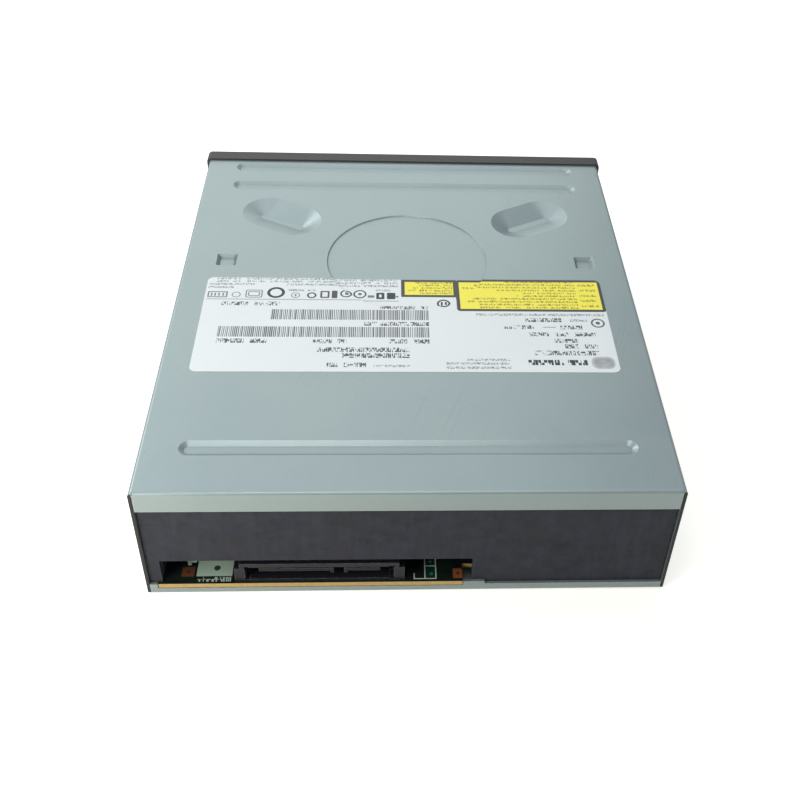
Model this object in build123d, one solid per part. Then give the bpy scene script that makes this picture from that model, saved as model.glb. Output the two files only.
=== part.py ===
"""Half-height internal optical disc writer: a folded steel case, a moulded mainframe with the tray loader,
a tilting traverse with spindle and laser pickup, a main board with its rear data and power socket, and a
plastic front bezel. Millimetres, +Z up, front bezel towards -Y, origin under the centre of the whole drive."""

from math import acos, asin, cos, degrees, hypot, pi, radians, sin, tan
import os

from build123d import *

# Overall envelope
BODY_WIDTH = 146.0
BODY_HEIGHT = 41.3
BODY_LENGTH = 165.0
BEZEL_WIDTH = 148.0
BEZEL_HEIGHT = 42.0
BEZEL_THICKNESS = 5.5
FRONT = BEZEL_THICKNESS - (BODY_LENGTH + BEZEL_THICKNESS) / 2
HALF_WIDTH = BODY_WIDTH / 2

# Clearances between pieces
GAP = 0.2
SLIDE_GAP = 0.3
SCREW_GAP = 0.02
RUNNING_GAP = 0.05
SEAT_GAP = 0.1

# Folded steel case
SHEET = 0.8
BEND = 1.0
REAR_FLAP = 6.9
REAR_LIP = 3.0
SIDE_LIP = 4.5
BEAD_LENGTH = BODY_WIDTH - 21.2
BEAD_WIDTH = 5.6
BEAD_SLOPE = 1.4
BEAD_DROP = 0.9
BEAD_DEPTHS = (4.6, 16.9, BODY_LENGTH - 16.4)
DISH_X = 43.4
DISH_DEPTH = 36.9
DISH_LENGTH = 28.8
DISH_WIDTH = 18.0
DISH_FLOOR_LENGTH = 17.0
DISH_FLOOR_WIDTH = 2.6
DISH_DROP = 2.6
DISH_ANGLE = 27.8
CLAMP_CIRCLE = 26.7
CLAMP_CIRCLE_DROP = 0.4
PAD_X = HALF_WIDTH - 13.6
PAD_DEPTH = 62.8
PAD_SIZE = 6.6
PAD_FLOOR = 4.4
PAD_DROP = 1.2

# Mounting holes, from the half-height drive bay layout
MOUNT_FIRST = 47.4
MOUNT_PITCH = 79.25
MOUNT_LOW = 10.0
MOUNT_RISE = 11.84
MOUNT_BASE_X = HALF_WIDTH - 3.15
MOUNT_HOLE = 1.25
COLLAR = 2.2
COLLAR_LENGTH = 1.2

# Case screws, driven up through dimples in the bottom cover
CASE_SCREW_X = HALF_WIDTH - 9.0
CASE_SCREW_DEPTHS = (12.0, BODY_LENGTH - 15.0)
CASE_SCREW = 1.25
CASE_SCREW_HEAD = 2.6
CASE_SCREW_HEAD_HEIGHT = 1.4
CASE_SCREW_LENGTH = 7.0
DIMPLE = 4.4
DIMPLE_FLOOR = 3.2
DIMPLE_RISE = 1.6

# Main board and its rear socket
BOARD = 1.6
BOARD_Z = 2.4
BOARD_LEFT = HALF_WIDTH - 3.2
BOARD_RIGHT = -15.0
BOARD_LENGTH = 69.0
BOARD_FRONT_DEPTH = BODY_LENGTH - BOARD_LENGTH
BOARD_OVERHANG = 0.15
BOARD_WING = 8.0
BOARD_WING_SETBACK = 6.2
BOARD_SCREWS = ((BOARD_LEFT - 8.8, BOARD_FRONT_DEPTH + 6.0), (BOARD_RIGHT + 5.5, BODY_LENGTH - 17.0))
BOARD_SCREW = 1.0
BOARD_SCREW_HEAD = 1.9
BOARD_SCREW_HEAD_HEIGHT = 1.0
BOARD_SCREW_LENGTH = 6.0
BOARD_BOSS = 2.6
SOCKET_LEFT = 47.2
SOCKET_RIGHT = 3.0
SOCKET_HEIGHT = 7.4
SOCKET_LENGTH = 9.0
SOCKET_EAR = 1.5
SOCKET_EAR_HEIGHT = 5.4
CAVITY_END = 1.4
CAVITY_HEIGHT = 5.0
CAVITY_FLOOR = 0.9
CAVITY_LENGTH = 6.0
LATCH_NOTCH = 1.5
LATCH_NOTCH_HEIGHT = 0.8
LATCH_NOTCH_REACH = 0.3
LATCH_NOTCH_LENGTH = 3.0
TONGUE = 1.23
TONGUE_RISE = 3.0
POWER_TONGUE = (42.0, 21.3)
SIGNAL_TONGUE = (18.4, 8.3)
KEY = 1.0
KEY_DROP = 2.1
CONTACT = 0.12
CONTACT_PITCH = 1.27
CONTACT_WIDTH = 0.7
CONTACT_LENGTH = 4.6

# Chips and capacitors, with the distance of each from the case's rear end
CHIP_HEIGHT = 1.1
CONTROLLER = 18.0
CONTROLLER_X = 18.0
CONTROLLER_OFFSET = 16.0
DRIVER_WIDTH = 10.0
DRIVER_LENGTH = 7.0
DRIVER_X = 40.0
DRIVER_SETBACK = 12.0
MEMORY_WIDTH = 5.2
MEMORY_LENGTH = 5.4
MEMORY_HEIGHT = 1.6
MEMORY_X = 0.0
MEMORY_SETBACK = 15.6
CAPACITOR = 2.5
CAPACITOR_HEIGHT = 5.4
CAPACITOR_FOOT = 0.4
CAPACITOR_FOOT_EDGE = 0.1
CAPACITOR_PLACES = ((54.0, 19.5), (54.0, 12.5), (12.0, 18.0))

# Flat cables
CABLE = 0.2
CABLE_RISE = 0.9
CABLE_SOCKET = BOARD_FRONT_DEPTH + 2.0
PICKUP_CABLE = (20.0, 22.0)
FRONT_CABLE = (48.0, 8.0)

# Mainframe
WALL = 2.0
FRAME_SIDE = HALF_WIDTH - 2.6
FRAME_EDGE = HALF_WIDTH - 1.1
FRAME_TOP = BODY_HEIGHT - SHEET - GAP
DECK = 2.0
DECK_Z = 12.0
DECK_FRONT = 1.6
WELL_X = 54.5
WELL_FRONT = 34.5
WELL_REAR = BODY_LENGTH - 22.0
WALL_TOP = BODY_HEIGHT - 5.7
WINDOW_LEFT = BOARD_LEFT - 1.2
WINDOW_RIGHT = BOARD_RIGHT - 2.5
WINDOW_TOP = 13.1
REAR_GAP = 0.1

# Disc tray
DISC = 60.6
DISC_DEPTH = 62.1
SMALL_DISC = 40.6
SMALL_DISC_DROP = 0.8
RECESS = 1.6
TRAY_TOP = 27.6
TRAY_THICKNESS = 3.4
TRAY_HALF = FRAME_SIDE - 5.8
TRAY_FRONT = -2.9
TRAY_REAR = BODY_LENGTH - 8.0
TRAY_SLOT = 20.0
TRAY_SLOT_END = TRAY_REAR - 27.5
RAIL = 3.4
RAIL_DROP = 2.6
TRAY_TRAVEL = 130.0
APRON = 1.7
APRON_TOP = 31.0
LEDGE = 1.8
TAB = 1.6
TAB_LIFT = 0.4

# Tray rack, loading gears, belt and motor
RACK_MODULE = 1.0
PINION_TEETH = 18
GEAR_MODULE = 0.8
WHEEL_TEETH = 36
PULLEY_TEETH = 15
PRESSURE = radians(20)
BACKLASH = 0.16
RACK_X = 9.6 - TRAY_HALF
RACK_BODY = 2.4
RACK_DROP = 4.0
WHEEL_DEPTH = 18.6
WHEEL_THICKNESS = 2.2
PULLEY_OFFSET_Y = -4.6
PULLEY = 8.0
PULLEY_THICKNESS = 2.8
MOTOR_PULLEY = 2.5
MOTOR_X = 6.0
MOTOR_DEPTH = 14.5
LOADING_MOTOR = 10.0
LOADING_MOTOR_HEIGHT = 9.5
MOTOR_SHAFT = 0.75
MOTOR_SCREW_X = 7.0
MOTOR_SCREW = 1.0
MOTOR_SCREW_LENGTH = 4.0
MOTOR_BOSS = 2.6
BELT = 1.2
GEAR_POST = 1.5
GEAR_LIFT = 0.4

# Cam slider that raises the traverse
SLIDER_FRONT = 35.5
SLIDER = 2.5
SLIDER_LEFT = -40.5
SLIDER_RIGHT = 18.0
SLIDER_Z = 3.0
SLIDER_TOP = 17.8
SLIDER_TRAVEL = 15.0
CAM_PIN = 1.6
CAM_PIN_XS = (-20.0, 12.0)
CAM_PIN_Z = 15.0
CAM_PLAY = 0.35
CHANNEL = 1.3

# Tilting loader base and the traverse on its dampers, sized level as when playing
PIVOT_DEPTH = BODY_LENGTH - 29.0
PIVOT_Z = 15.0
PIVOT = 2.0
PIVOT_LENGTH = 5.0
TILT = 5.2
BASE_HALF = 52.0
BASE_FRONT = 41.0
BASE_REAR = PIVOT_DEPTH + 5.0
BASE_BOTTOM = 11.5
BASE_TOP = 17.5
BASE_OPENING = BASE_HALF - 6.4
BASE_BEAM = 5.5
DAMPER_X = BASE_OPENING - 5.2
DAMPER_DEPTHS = (53.0, PIVOT_DEPTH - 9.0)
DAMPER = 3.6
DAMPER_NECK = 2.5
DAMPER_BORE = 1.6
DAMPER_HEIGHT = 4.2
SHELF = 1.4
DAMPER_SCREW_HEAD = 2.8
TRAVERSE = 1.2
TRAVERSE_GAP = 0.8
TRAVERSE_HALF = BASE_OPENING - TRAVERSE_GAP
TRAVERSE_FRONT = BASE_FRONT + BASE_BEAM + TRAVERSE_GAP
TRAVERSE_REAR = BASE_REAR - BASE_BEAM - TRAVERSE_GAP
PLATE_SLOT = 19.0

# Spindle motor and turntable
TURNTABLE_TOP = 27.3
TURNTABLE = 14.6
TURNTABLE_HEIGHT = 4.2
HUB = 7.4
HUB_HEIGHT = 2.3
ROTOR = 12.8
ROTOR_HEIGHT = 6.8
ROTOR_WALL = 0.8
SPINDLE_SHAFT = 1.5
BEARING_HOUSING = 3.4
MOTOR_PLATE = 0.8
STATOR = 11.4
STATOR_POLES = 9
STATOR_ARM = 2.0
STATOR_SHOE = 1.6
STATOR_SHOE_WIDTH = 6.0
STATOR_HEIGHT = 3.0
STATOR_LIFT = 1.4
STATOR_RING = 1.0
WINDING = 0.6
WINDING_END = 0.2
PAD_RING = 0.4

# Laser pickup, rods and feed screw
ROD = 1.5
ROD_X = 22.0
ROD_Z = 18.4
ROD_FRONT = 50.0
ROD_SEAT = 3.0
ROD_STOP = 1.2
ROD_REAR = TRAVERSE_REAR - ROD_STOP - 0.4
SLED_STOP_GAP = 0.5
LENS_FIRST = 24.0
SLED_HALF = 25.5
SLED_LENGTH = 19.0
SLED_TRAVEL = ROD_REAR - ROD_SEAT - SLED_STOP_GAP - DISC_DEPTH - LENS_FIRST - SLED_LENGTH / 2
SLED_TOP = 20.6
SLED_KEEL = 16.5
SLED_BOTTOM = 11.4
SCREW_X = 31.0
SCREW_Z = 18.2
NUT_HALF = 2.0
FEED_SCREW = 1.4
FEED_PITCH = 3.0
FEED_MOTOR = 5.5
FEED_MOTOR_FRONT = 49.5
FEED_MOTOR_LENGTH = 13.5
FEED_END = TRAVERSE_REAR - 8.7
NUT_LENGTH = 7.0
LENS = 2.6
LENS_TOP = 24.9
LENS_CROWN = 0.8
LENS_HOLDER_X = 5.0
LENS_HOLDER_Y = 4.2
LENS_HOLDER = 2.2
FOCUS_COIL = 0.7
FOCUS_COIL_HALF = 3.5
FOCUS_COIL_WIRE = 1.1
FOCUS_COIL_EDGE = 0.1
ACTUATOR_WELL = 3.4
YOKE = 0.8
YOKE_HALF_X = 10.3
YOKE_HALF_Y = 7.8
CHEEK = 1.7
ACTUATOR_MAGNET = 1.6
PICKUP_COVER = 0.4
PICKUP_COVER_HALF = 18.5
PICKUP_COVER_EDGE = 0.8
WIRE = 0.12

# Disc clamp in its bridge
BRIDGE = 0.8
BRIDGE_FRONT = 48.5
BRIDGE_REAR = 76.5
BRIDGE_DISH = 20.0
BRIDGE_DISH_SLOPE = 3.0
BRIDGE_DROP = 3.0
BRIDGE_FOOT = 6.0
CLAMPER = 13.4
CLAMPER_FLANGE = 16.5
CLAMPER_FLANGE_HEIGHT = 1.2
CLAMPER_BOTTOM = WALL_TOP - 7.4
CLAMPER_WALL = 1.2
CLAMP_MAGNET = 9.0
CLAMP_MAGNET_HEIGHT = 2.2
CLAMP_YOKE = 0.8

# Bezel, door, button and light
BEZEL_WALL = 2.2
BEZEL_RIM = 1.6
BEZEL_CORNER = 1.6
DOOR_HALF = TRAY_HALF + 1.8
DOOR_BOTTOM = 19.9
DOOR_TOP = 33.1
DOOR = 2.6
DOOR_GAP = 0.5
BUTTON_X = FRAME_SIDE - 17.4
BUTTON_Z = 9.5
BUTTON_WIDTH = 14.0
BUTTON_HEIGHT = 5.0
BUTTON_THICKNESS = 3.0
BUTTON_TRAVEL = 1.2
BUTTON_STEM = 1.5
LIGHT_X = BUTTON_X - 16.0
LIGHT_WIDTH = 5.0
LIGHT_HEIGHT = 2.0
PINHOLE_X = -12.0
PINHOLE = 0.7
HOOK_LENGTH = 8.0
HOOK_WIDTH = 6.0
HOOK = 1.2
HOOK_Z = BODY_HEIGHT - 11.3
BARB = 0.6

# Front board with the eject switch and lamp
SMALL_BOARD = 1.2
SMALL_BOARD_Z = 4.6
SMALL_BOARD_LEFT = LIGHT_X - 9.0
SMALL_BOARD_RIGHT = BUTTON_X + 7.0
SMALL_BOARD_FRONT = 3.8
SMALL_BOARD_REAR = 20.0
SWITCH_SIZE = (6.0, 3.6, 6.0)
SWITCH_PLUNGER = 1.2

# Rating label
LABEL = 0.12
LABEL_WIDTH = BODY_WIDTH - 19.1
LABEL_LENGTH = 45.2
LABEL_X = 0.6
LABEL_DEPTH = 95.4
LABEL_CORNER = 2.0

PARTS = "parts"


def at(depth):
    """The y of a place that lies this far behind the case's front edge."""
    return FRONT + depth


def block(x0, x1, d0, d1, z0, z1):
    """A plain rectangular solid between two x, two depths and two heights."""
    size = Box(abs(x1 - x0), abs(d1 - d0), abs(z1 - z0))
    return Pos((x0 + x1) / 2, at((d0 + d1) / 2), (z0 + z1) / 2) * size


def post(x, depth, z0, z1, radius):
    """An upright round post or hole."""
    return Pos(x, at(depth), (z0 + z1) / 2) * Cylinder(radius, z1 - z0)


def rod_along_y(x, z, d0, d1, radius):
    """A round bar that runs from front to back."""
    return Pos(x, at((d0 + d1) / 2), z) * Rot(X=90) * Cylinder(radius, d1 - d0)


def rod_along_x(depth, z, x0, x1, radius):
    """A round bar that runs across the drive."""
    return Pos((x0 + x1) / 2, at(depth), z) * Rot(Y=90) * Cylinder(radius, abs(x1 - x0))


def turned(points, x, depth):
    """A solid of revolution about an upright axis, from (radius, height) points."""
    face = make_face(Plane.XZ * Polyline(*points, close=True))
    return Pos(x, at(depth), 0) * revolve(face, Axis.Z)


def plan(sketch, x, depth, z0, z1):
    """A flat outline extruded upwards from z0 to z1."""
    return extrude(Pos(x, at(depth), z0) * sketch, z1 - z0)


def drawn(outer, inner, x, depth, z, drop):
    """The tool for a drawn recess: a loft from the outer outline down to the floor outline."""
    top = Pos(x, at(depth), z) * outer
    floor = Pos(x, at(depth), z - drop) * inner
    return loft([top, floor])


def emboss(sheet, tool, step):
    """Presses a drawn recess into sheet metal, so that its back stands out by the sheet's thickness."""
    return sheet + Pos(0, 0, step) * tool - tool


def lowered(shape):
    """Turns a level traverse piece about the rear pivot to its lowered rest position."""
    return Pos(0, at(PIVOT_DEPTH), PIVOT_Z) * Rot(X=TILT) * Pos(0, -at(PIVOT_DEPTH), -PIVOT_Z) * shape


def save(name, *shapes):
    """Writes one named piece, or one group of like pieces, as its own file."""
    solids = [solid for shape in shapes for solid in shape.solids()]
    piece = solids[0] if len(solids) == 1 else Compound(children=solids)
    export_step(piece, f"{PARTS}/{name}.step")


def mount_depths():
    return (MOUNT_FIRST, MOUNT_FIRST + MOUNT_PITCH)


# Folded steel case


def top_cover():
    side_bottom = SHEET + SEAT_GAP
    outer = Pos(0, (BODY_HEIGHT + side_bottom) / 2) * Rectangle(BODY_WIDTH, BODY_HEIGHT - side_bottom)
    outer = fillet(outer.vertices().group_by(Axis.Y)[-1], BEND)
    inner_top = BODY_HEIGHT - SHEET
    inner = Pos(0, inner_top / 2) * Rectangle(BODY_WIDTH - 2 * SHEET, inner_top)
    section = Plane((0, at(BODY_LENGTH), 0), x_dir=(1, 0, 0), z_dir=(0, -1, 0)) * (outer - inner)
    cover = extrude(section, BODY_LENGTH)
    flap_half = HALF_WIDTH - SHEET - GAP
    cover -= block(-flap_half, flap_half, BODY_LENGTH - BEND, BODY_LENGTH, inner_top - BEND, BODY_HEIGHT)
    cover += extrude(Plane.YZ.offset(-flap_half) * fold_profile(), 2 * flap_half)
    for side in (-1, 1):
        # the side walls stop above the bottom cover's rear lip
        wall = side * HALF_WIDTH
        cover -= block(wall, wall - side * SHEET, BODY_LENGTH - SHEET - GAP, BODY_LENGTH, 0, REAR_LIP + SEAT_GAP)
    for depth in BEAD_DEPTHS:
        outer = SlotOverall(BEAD_LENGTH, BEAD_WIDTH)
        floor = SlotOverall(BEAD_LENGTH - 2 * BEAD_SLOPE, BEAD_WIDTH - 2 * BEAD_SLOPE)
        cover = emboss(cover, drawn(outer, floor, 0, depth, BODY_HEIGHT, BEAD_DROP), -SHEET)
    for side in (-1, 1):
        turn = Rot(Z=-side * DISH_ANGLE)
        outer = turn * SlotOverall(DISH_LENGTH, DISH_WIDTH)
        floor = turn * SlotOverall(DISH_FLOOR_LENGTH, DISH_FLOOR_WIDTH)
        cover = emboss(cover, drawn(outer, floor, side * DISH_X, DISH_DEPTH, BODY_HEIGHT, DISH_DROP), -SHEET)
        outer = RectangleRounded(PAD_SIZE, PAD_SIZE, 0.6)
        floor = RectangleRounded(PAD_FLOOR, PAD_FLOOR, 0.4)
        cover = emboss(cover, drawn(outer, floor, side * PAD_X, PAD_DEPTH, BODY_HEIGHT, PAD_DROP), -SHEET)
    cover = emboss(cover, clamp_circle(), -SHEET)
    for side in (-1, 1):
        for depth in mount_depths():
            for z in (MOUNT_LOW, MOUNT_LOW + MOUNT_RISE):
                face = HALF_WIDTH - SHEET
                cover += rod_along_x(depth, z, side * (face - COLLAR_LENGTH), side * (face + SHEET / 2), COLLAR)
                cover -= rod_along_x(depth, z, side * (face - COLLAR_LENGTH), side * HALF_WIDTH, MOUNT_HOLE)
        # window that the bezel's side hook snaps into
        cover -= block(side * (HALF_WIDTH - SHEET), side * HALF_WIDTH, HOOK_LENGTH - 3, HOOK_LENGTH + GAP,
                       HOOK_Z - HOOK_WIDTH / 2 - GAP, HOOK_Z + HOOK_WIDTH / 2 + GAP)
    return cover


def fold_profile():
    """Side outline of the rear flap, with the round bend that joins it to the top plate."""
    rear, top = at(BODY_LENGTH), BODY_HEIGHT
    inner_bend = BEND - SHEET
    curve = sin(radians(45))
    outside = ThreePointArc((rear - BEND, top), (rear - BEND + BEND * curve, top - BEND + BEND * curve), (rear, top - BEND))
    inside = ThreePointArc((rear - SHEET, top - BEND),
                           (rear - BEND + inner_bend * curve, top - BEND + inner_bend * curve), (rear - BEND, top - SHEET))
    low = top - REAR_FLAP
    edges = [outside, Line((rear, top - BEND), (rear, low)), Line((rear, low), (rear - SHEET, low)),
             Line((rear - SHEET, low), (rear - SHEET, top - BEND)), inside, Line((rear - BEND, top - SHEET), (rear - BEND, top))]
    return make_face(Wire(edges))


def bottom_cover():
    plate = block(-HALF_WIDTH, HALF_WIDTH, 0, BODY_LENGTH, 0, SHEET)
    rear = BODY_LENGTH - SHEET
    plate += block(-HALF_WIDTH, HALF_WIDTH, rear, BODY_LENGTH, SHEET, REAR_LIP)
    plate -= block(BOARD_RIGHT - GAP, BOARD_LEFT + GAP, rear, BODY_LENGTH, BOARD_Z - SEAT_GAP, REAR_LIP)
    tab_right = BOARD_RIGHT - GAP
    plate += block(tab_right - 6, tab_right, rear, BODY_LENGTH, REAR_LIP, BOARD_Z + BOARD)
    plate += block(BOARD_LEFT + GAP, HALF_WIDTH - SHEET - SEAT_GAP, rear, BODY_LENGTH, REAR_LIP, BOARD_Z + BOARD)
    rear_edges = plate.edges().filter_by(Axis.X).sort_by(Axis.Z)
    low = [e for e in rear_edges if abs(e.center().Z) < 0.01 and e.center().Y > at(rear)]
    plate = fillet(low, SHEET)
    lip_out = HALF_WIDTH - SHEET - SEAT_GAP - 0.05
    for side in (-1, 1):
        lip = block(side * (lip_out - SHEET), side * lip_out, 8, BODY_LENGTH - 8, SHEET, SIDE_LIP)
        for depth in mount_depths():
            lip -= block(side * (lip_out - SHEET), side * lip_out, depth - 4, depth + 4, SHEET, SIDE_LIP)
        plate += lip
        for depth in mount_depths():
            plate += post(side * MOUNT_BASE_X, depth, SHEET / 2, SHEET + COLLAR_LENGTH, COLLAR)
            plate -= post(side * MOUNT_BASE_X, depth, 0, SHEET + COLLAR_LENGTH, MOUNT_HOLE)
        for depth in CASE_SCREW_DEPTHS:
            dimple = drawn(Circle(DIMPLE), Circle(DIMPLE_FLOOR), side * CASE_SCREW_X, depth, 0, -DIMPLE_RISE)
            plate = emboss(plate, dimple, SHEET)
            plate -= post(side * CASE_SCREW_X, depth, 0, DIMPLE_RISE + SHEET, CASE_SCREW + GAP)
    for depth in (24.0, 60.0):
        bead = drawn(SlotOverall(86, 6), SlotOverall(83.6, 3.6), 0, depth, 0, -0.9)
        plate = emboss(plate, bead, SHEET)
    return plate


def case_screws():
    screws = []
    for side in (-1, 1):
        for depth in CASE_SCREW_DEPTHS:
            x = side * CASE_SCREW_X
            head_top = DIMPLE_RISE
            head = post(x, depth, head_top - CASE_SCREW_HEAD_HEIGHT, head_top, CASE_SCREW_HEAD)
            head = chamfer(head.edges().filter_by(GeomType.CIRCLE).sort_by(Axis.Z)[0], 0.5)
            recess_z = head_top - CASE_SCREW_HEAD_HEIGHT
            for turn in (0, 90):
                bar = Pos(x, at(depth), recess_z + 0.4) * Rot(Z=turn) * Box(2.8, 0.7, 0.8)
                head -= bar
            screws.append(head + post(x, depth, head_top, head_top + CASE_SCREW_LENGTH, CASE_SCREW))
    return screws


def rating_label():
    """Thin sticker that follows the cover down into the shallow clamp circle."""
    shape = RectangleRounded(LABEL_WIDTH, LABEL_LENGTH, LABEL_CORNER)
    label = plan(shape, LABEL_X, LABEL_DEPTH, BODY_HEIGHT, BODY_HEIGHT + LABEL)
    below = plan(shape, LABEL_X, LABEL_DEPTH, BODY_HEIGHT - CLAMP_CIRCLE_DROP, BODY_HEIGHT)
    return label + (clamp_circle() & below) - Pos(0, 0, LABEL) * clamp_circle()


def clamp_circle():
    floor = Circle(CLAMP_CIRCLE - CLAMP_CIRCLE_DROP)
    return drawn(Circle(CLAMP_CIRCLE), floor, 0, DISC_DEPTH, BODY_HEIGHT, CLAMP_CIRCLE_DROP)


# Main board and rear socket


def rear_wall_depth():
    """Depth of the mainframe rear wall's outer face, just inside the cover's flap."""
    return BODY_LENGTH - SHEET - REAR_GAP


def main_board():
    board = block(BOARD_RIGHT, BOARD_LEFT, BOARD_FRONT_DEPTH, BODY_LENGTH - BOARD_OVERHANG, BOARD_Z, BOARD_Z + BOARD)
    # wider part that stops short of the rear wall, so that the corner beside the window is notched
    board += block(BOARD_RIGHT - BOARD_WING, BOARD_RIGHT, BOARD_FRONT_DEPTH, BODY_LENGTH - BOARD_WING_SETBACK, BOARD_Z,
                   BOARD_Z + BOARD)
    board = fillet(board.edges().filter_by(Axis.Z).sort_by(Axis.Y)[:2], 3)
    lip_in = HALF_WIDTH - 2 * SHEET - SEAT_GAP - 0.05
    board -= block(lip_in - GAP, BOARD_LEFT, MOUNT_FIRST + MOUNT_PITCH - 8, MOUNT_FIRST + MOUNT_PITCH + 8, 0, BOARD_Z + BOARD)
    board -= block(MOUNT_BASE_X - COLLAR - GAP, BOARD_LEFT, MOUNT_FIRST + MOUNT_PITCH - 4, MOUNT_FIRST + MOUNT_PITCH + 4,
                   0, BOARD_Z + BOARD)
    board -= post(CASE_SCREW_X, CASE_SCREW_DEPTHS[1], 0, BOARD_Z + BOARD, 4.4)
    for x, depth in BOARD_SCREWS:
        board -= post(x, depth, BOARD_Z, BOARD_Z + BOARD, BOARD_SCREW + GAP)
    return board


def board_screws():
    screws = []
    for x, depth in BOARD_SCREWS:
        head = post(x, depth, BOARD_Z - BOARD_SCREW_HEAD_HEIGHT, BOARD_Z, BOARD_SCREW_HEAD)
        head -= Pos(x, at(depth), BOARD_Z - BOARD_SCREW_HEAD_HEIGHT + 0.2) * Box(2.4, 0.5, 0.4)
        screws.append(head + post(x, depth, BOARD_Z, BOARD_Z + BOARD_SCREW_LENGTH, BOARD_SCREW))
    return screws


def tongue_z():
    return BOARD_Z + BOARD + TONGUE_RISE


def rear_socket():
    face = rear_wall_depth()
    z = BOARD_Z + BOARD
    body = block(SOCKET_RIGHT, SOCKET_LEFT, face - SOCKET_LENGTH, face, z, z + SOCKET_HEIGHT)
    body += block(SOCKET_RIGHT - SOCKET_EAR, SOCKET_LEFT + SOCKET_EAR, face - SOCKET_LENGTH, face, z, z + SOCKET_EAR_HEIGHT)
    left, right = SOCKET_LEFT - CAVITY_END, SOCKET_RIGHT + CAVITY_END
    cavity = block(right, left, face - CAVITY_LENGTH, face, z + CAVITY_FLOOR, z + CAVITY_FLOOR + CAVITY_HEIGHT)
    cavity = chamfer(cavity.edges().filter_by(Axis.Y), 0.6)
    body -= cavity
    # small notches at the cavity's four corners for the plug's latch
    reach, floor, roof = LATCH_NOTCH_REACH, z + CAVITY_FLOOR, z + CAVITY_FLOOR + CAVITY_HEIGHT
    for x0, x1 in ((left + reach, left + reach - LATCH_NOTCH), (right - reach, right - reach + LATCH_NOTCH)):
        for z0, z1 in ((floor - reach, floor - reach + LATCH_NOTCH_HEIGHT), (roof + reach - LATCH_NOTCH_HEIGHT, roof + reach)):
            body -= block(x0, x1, face - LATCH_NOTCH_LENGTH, face, z0, z1)
    for left, right, key_x in ((*POWER_TONGUE, POWER_TONGUE[1]), (*SIGNAL_TONGUE, SIGNAL_TONGUE[0] - KEY)):
        body += block(right, left, face - CAVITY_LENGTH, face - 1.0, tongue_z(), tongue_z() + TONGUE)
        body += block(key_x, key_x + KEY, face - CAVITY_LENGTH, face - 1.0, tongue_z() + TONGUE - KEY_DROP, tongue_z())
    # notches along the top edge, between the ribs that stiffen the shroud
    for x0, x1 in ((SOCKET_LEFT - 2, 36.2), (34.2, 30.4), (28.6, 17.0), (15.0, 11.2), (9.4, SOCKET_RIGHT + 2)):
        body -= block(x0, x1, face - SOCKET_LENGTH, face - 1.2, z + SOCKET_HEIGHT - 0.6, z + SOCKET_HEIGHT)
    return body


def socket_contacts():
    """Flat blades on the tongues' undersides: fifteen for power, seven for data."""
    face = rear_wall_depth()
    blades = []
    for (left, right), count in ((POWER_TONGUE, 15), (SIGNAL_TONGUE, 7)):
        middle = (left + right) / 2 + (0.5 if count == 15 else -0.5) * KEY
        for number in range(count):
            x = middle + (number - (count - 1) / 2) * CONTACT_PITCH
            blades.append(block(x - CONTACT_WIDTH / 2, x + CONTACT_WIDTH / 2, face - 1.2 - CONTACT_LENGTH, face - 1.2,
                                tongue_z() - CONTACT, tongue_z()))
    return blades


def controller_chip():
    """Large square chip under the board."""
    front = BOARD_FRONT_DEPTH + CONTROLLER_OFFSET
    return block(CONTROLLER_X, CONTROLLER_X + CONTROLLER, front, front + CONTROLLER, BOARD_Z - CHIP_HEIGHT, BOARD_Z)


def motor_driver_chip():
    top, rear = BOARD_Z + BOARD, BODY_LENGTH - DRIVER_SETBACK
    return block(DRIVER_X, DRIVER_X + DRIVER_WIDTH, rear - DRIVER_LENGTH, rear, top, top + CHIP_HEIGHT)


def memory_chip():
    top, rear = BOARD_Z + BOARD, BODY_LENGTH - MEMORY_SETBACK
    return block(MEMORY_X, MEMORY_X + MEMORY_WIDTH, rear - MEMORY_LENGTH, rear, top, top + MEMORY_HEIGHT)


def board_capacitors():
    top = BOARD_Z + BOARD
    cans = []
    for x, setback in CAPACITOR_PLACES:
        depth, foot = BODY_LENGTH - setback, CAPACITOR + CAPACITOR_FOOT_EDGE
        can = post(x, depth, top + CAPACITOR_FOOT, top + CAPACITOR_HEIGHT, CAPACITOR)
        base = block(x - foot, x + foot, depth - foot, depth + foot, top, top + CAPACITOR_FOOT)
        cans.append(fillet(can.edges().filter_by(GeomType.CIRCLE).sort_by(Axis.Z)[-1], CAPACITOR_FOOT) + base)
    return cans


def ribbon_sockets():
    """Two flat-cable connectors, open to the front: wide for the pickup, narrow for the front board."""
    top = BOARD_Z + BOARD
    housings = []
    for x, width in (PICKUP_CABLE, FRONT_CABLE):
        half = width / 2 + 1.5
        housing = block(x - half, x + half, CABLE_SOCKET, CABLE_SOCKET + 4.5, top, top + 2.0)
        slot = block(x - width / 2 - 0.1, x + width / 2 + 0.1, CABLE_SOCKET, CABLE_SOCKET + 2.5,
                     top + CABLE_RISE - RUNNING_GAP, top + CABLE_RISE + CABLE + RUNNING_GAP)
        housings.append(housing - slot)
    return housings


def flat_cable(x, width, points):
    """A flat cable of constant thickness through (depth, height) points, bent with rounded corners."""
    path = Polyline(*[(at(depth), z) for depth, z in points])
    path = fillet(path.vertices()[1:-1], 1.0)
    strip = offset(path, CABLE / 2, side=Side.BOTH)
    return extrude(Plane.YZ.offset(x - width / 2) * make_face(strip), width)


def front_cable():
    """Cable from the main board forward under the loader to the front board's underside."""
    top = BOARD_Z + BOARD + CABLE_RISE + CABLE / 2
    low = SHEET + 0.3
    x, width = FRONT_CABLE
    under = SMALL_BOARD_Z - 1.2
    points = [(CABLE_SOCKET + 2.2, top), (CABLE_SOCKET - 3.5, top), (CABLE_SOCKET - 7.5, low), (22.0, low), (18.0, under),
              (14.0, under)]
    return flat_cable(x, width, points)


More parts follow.
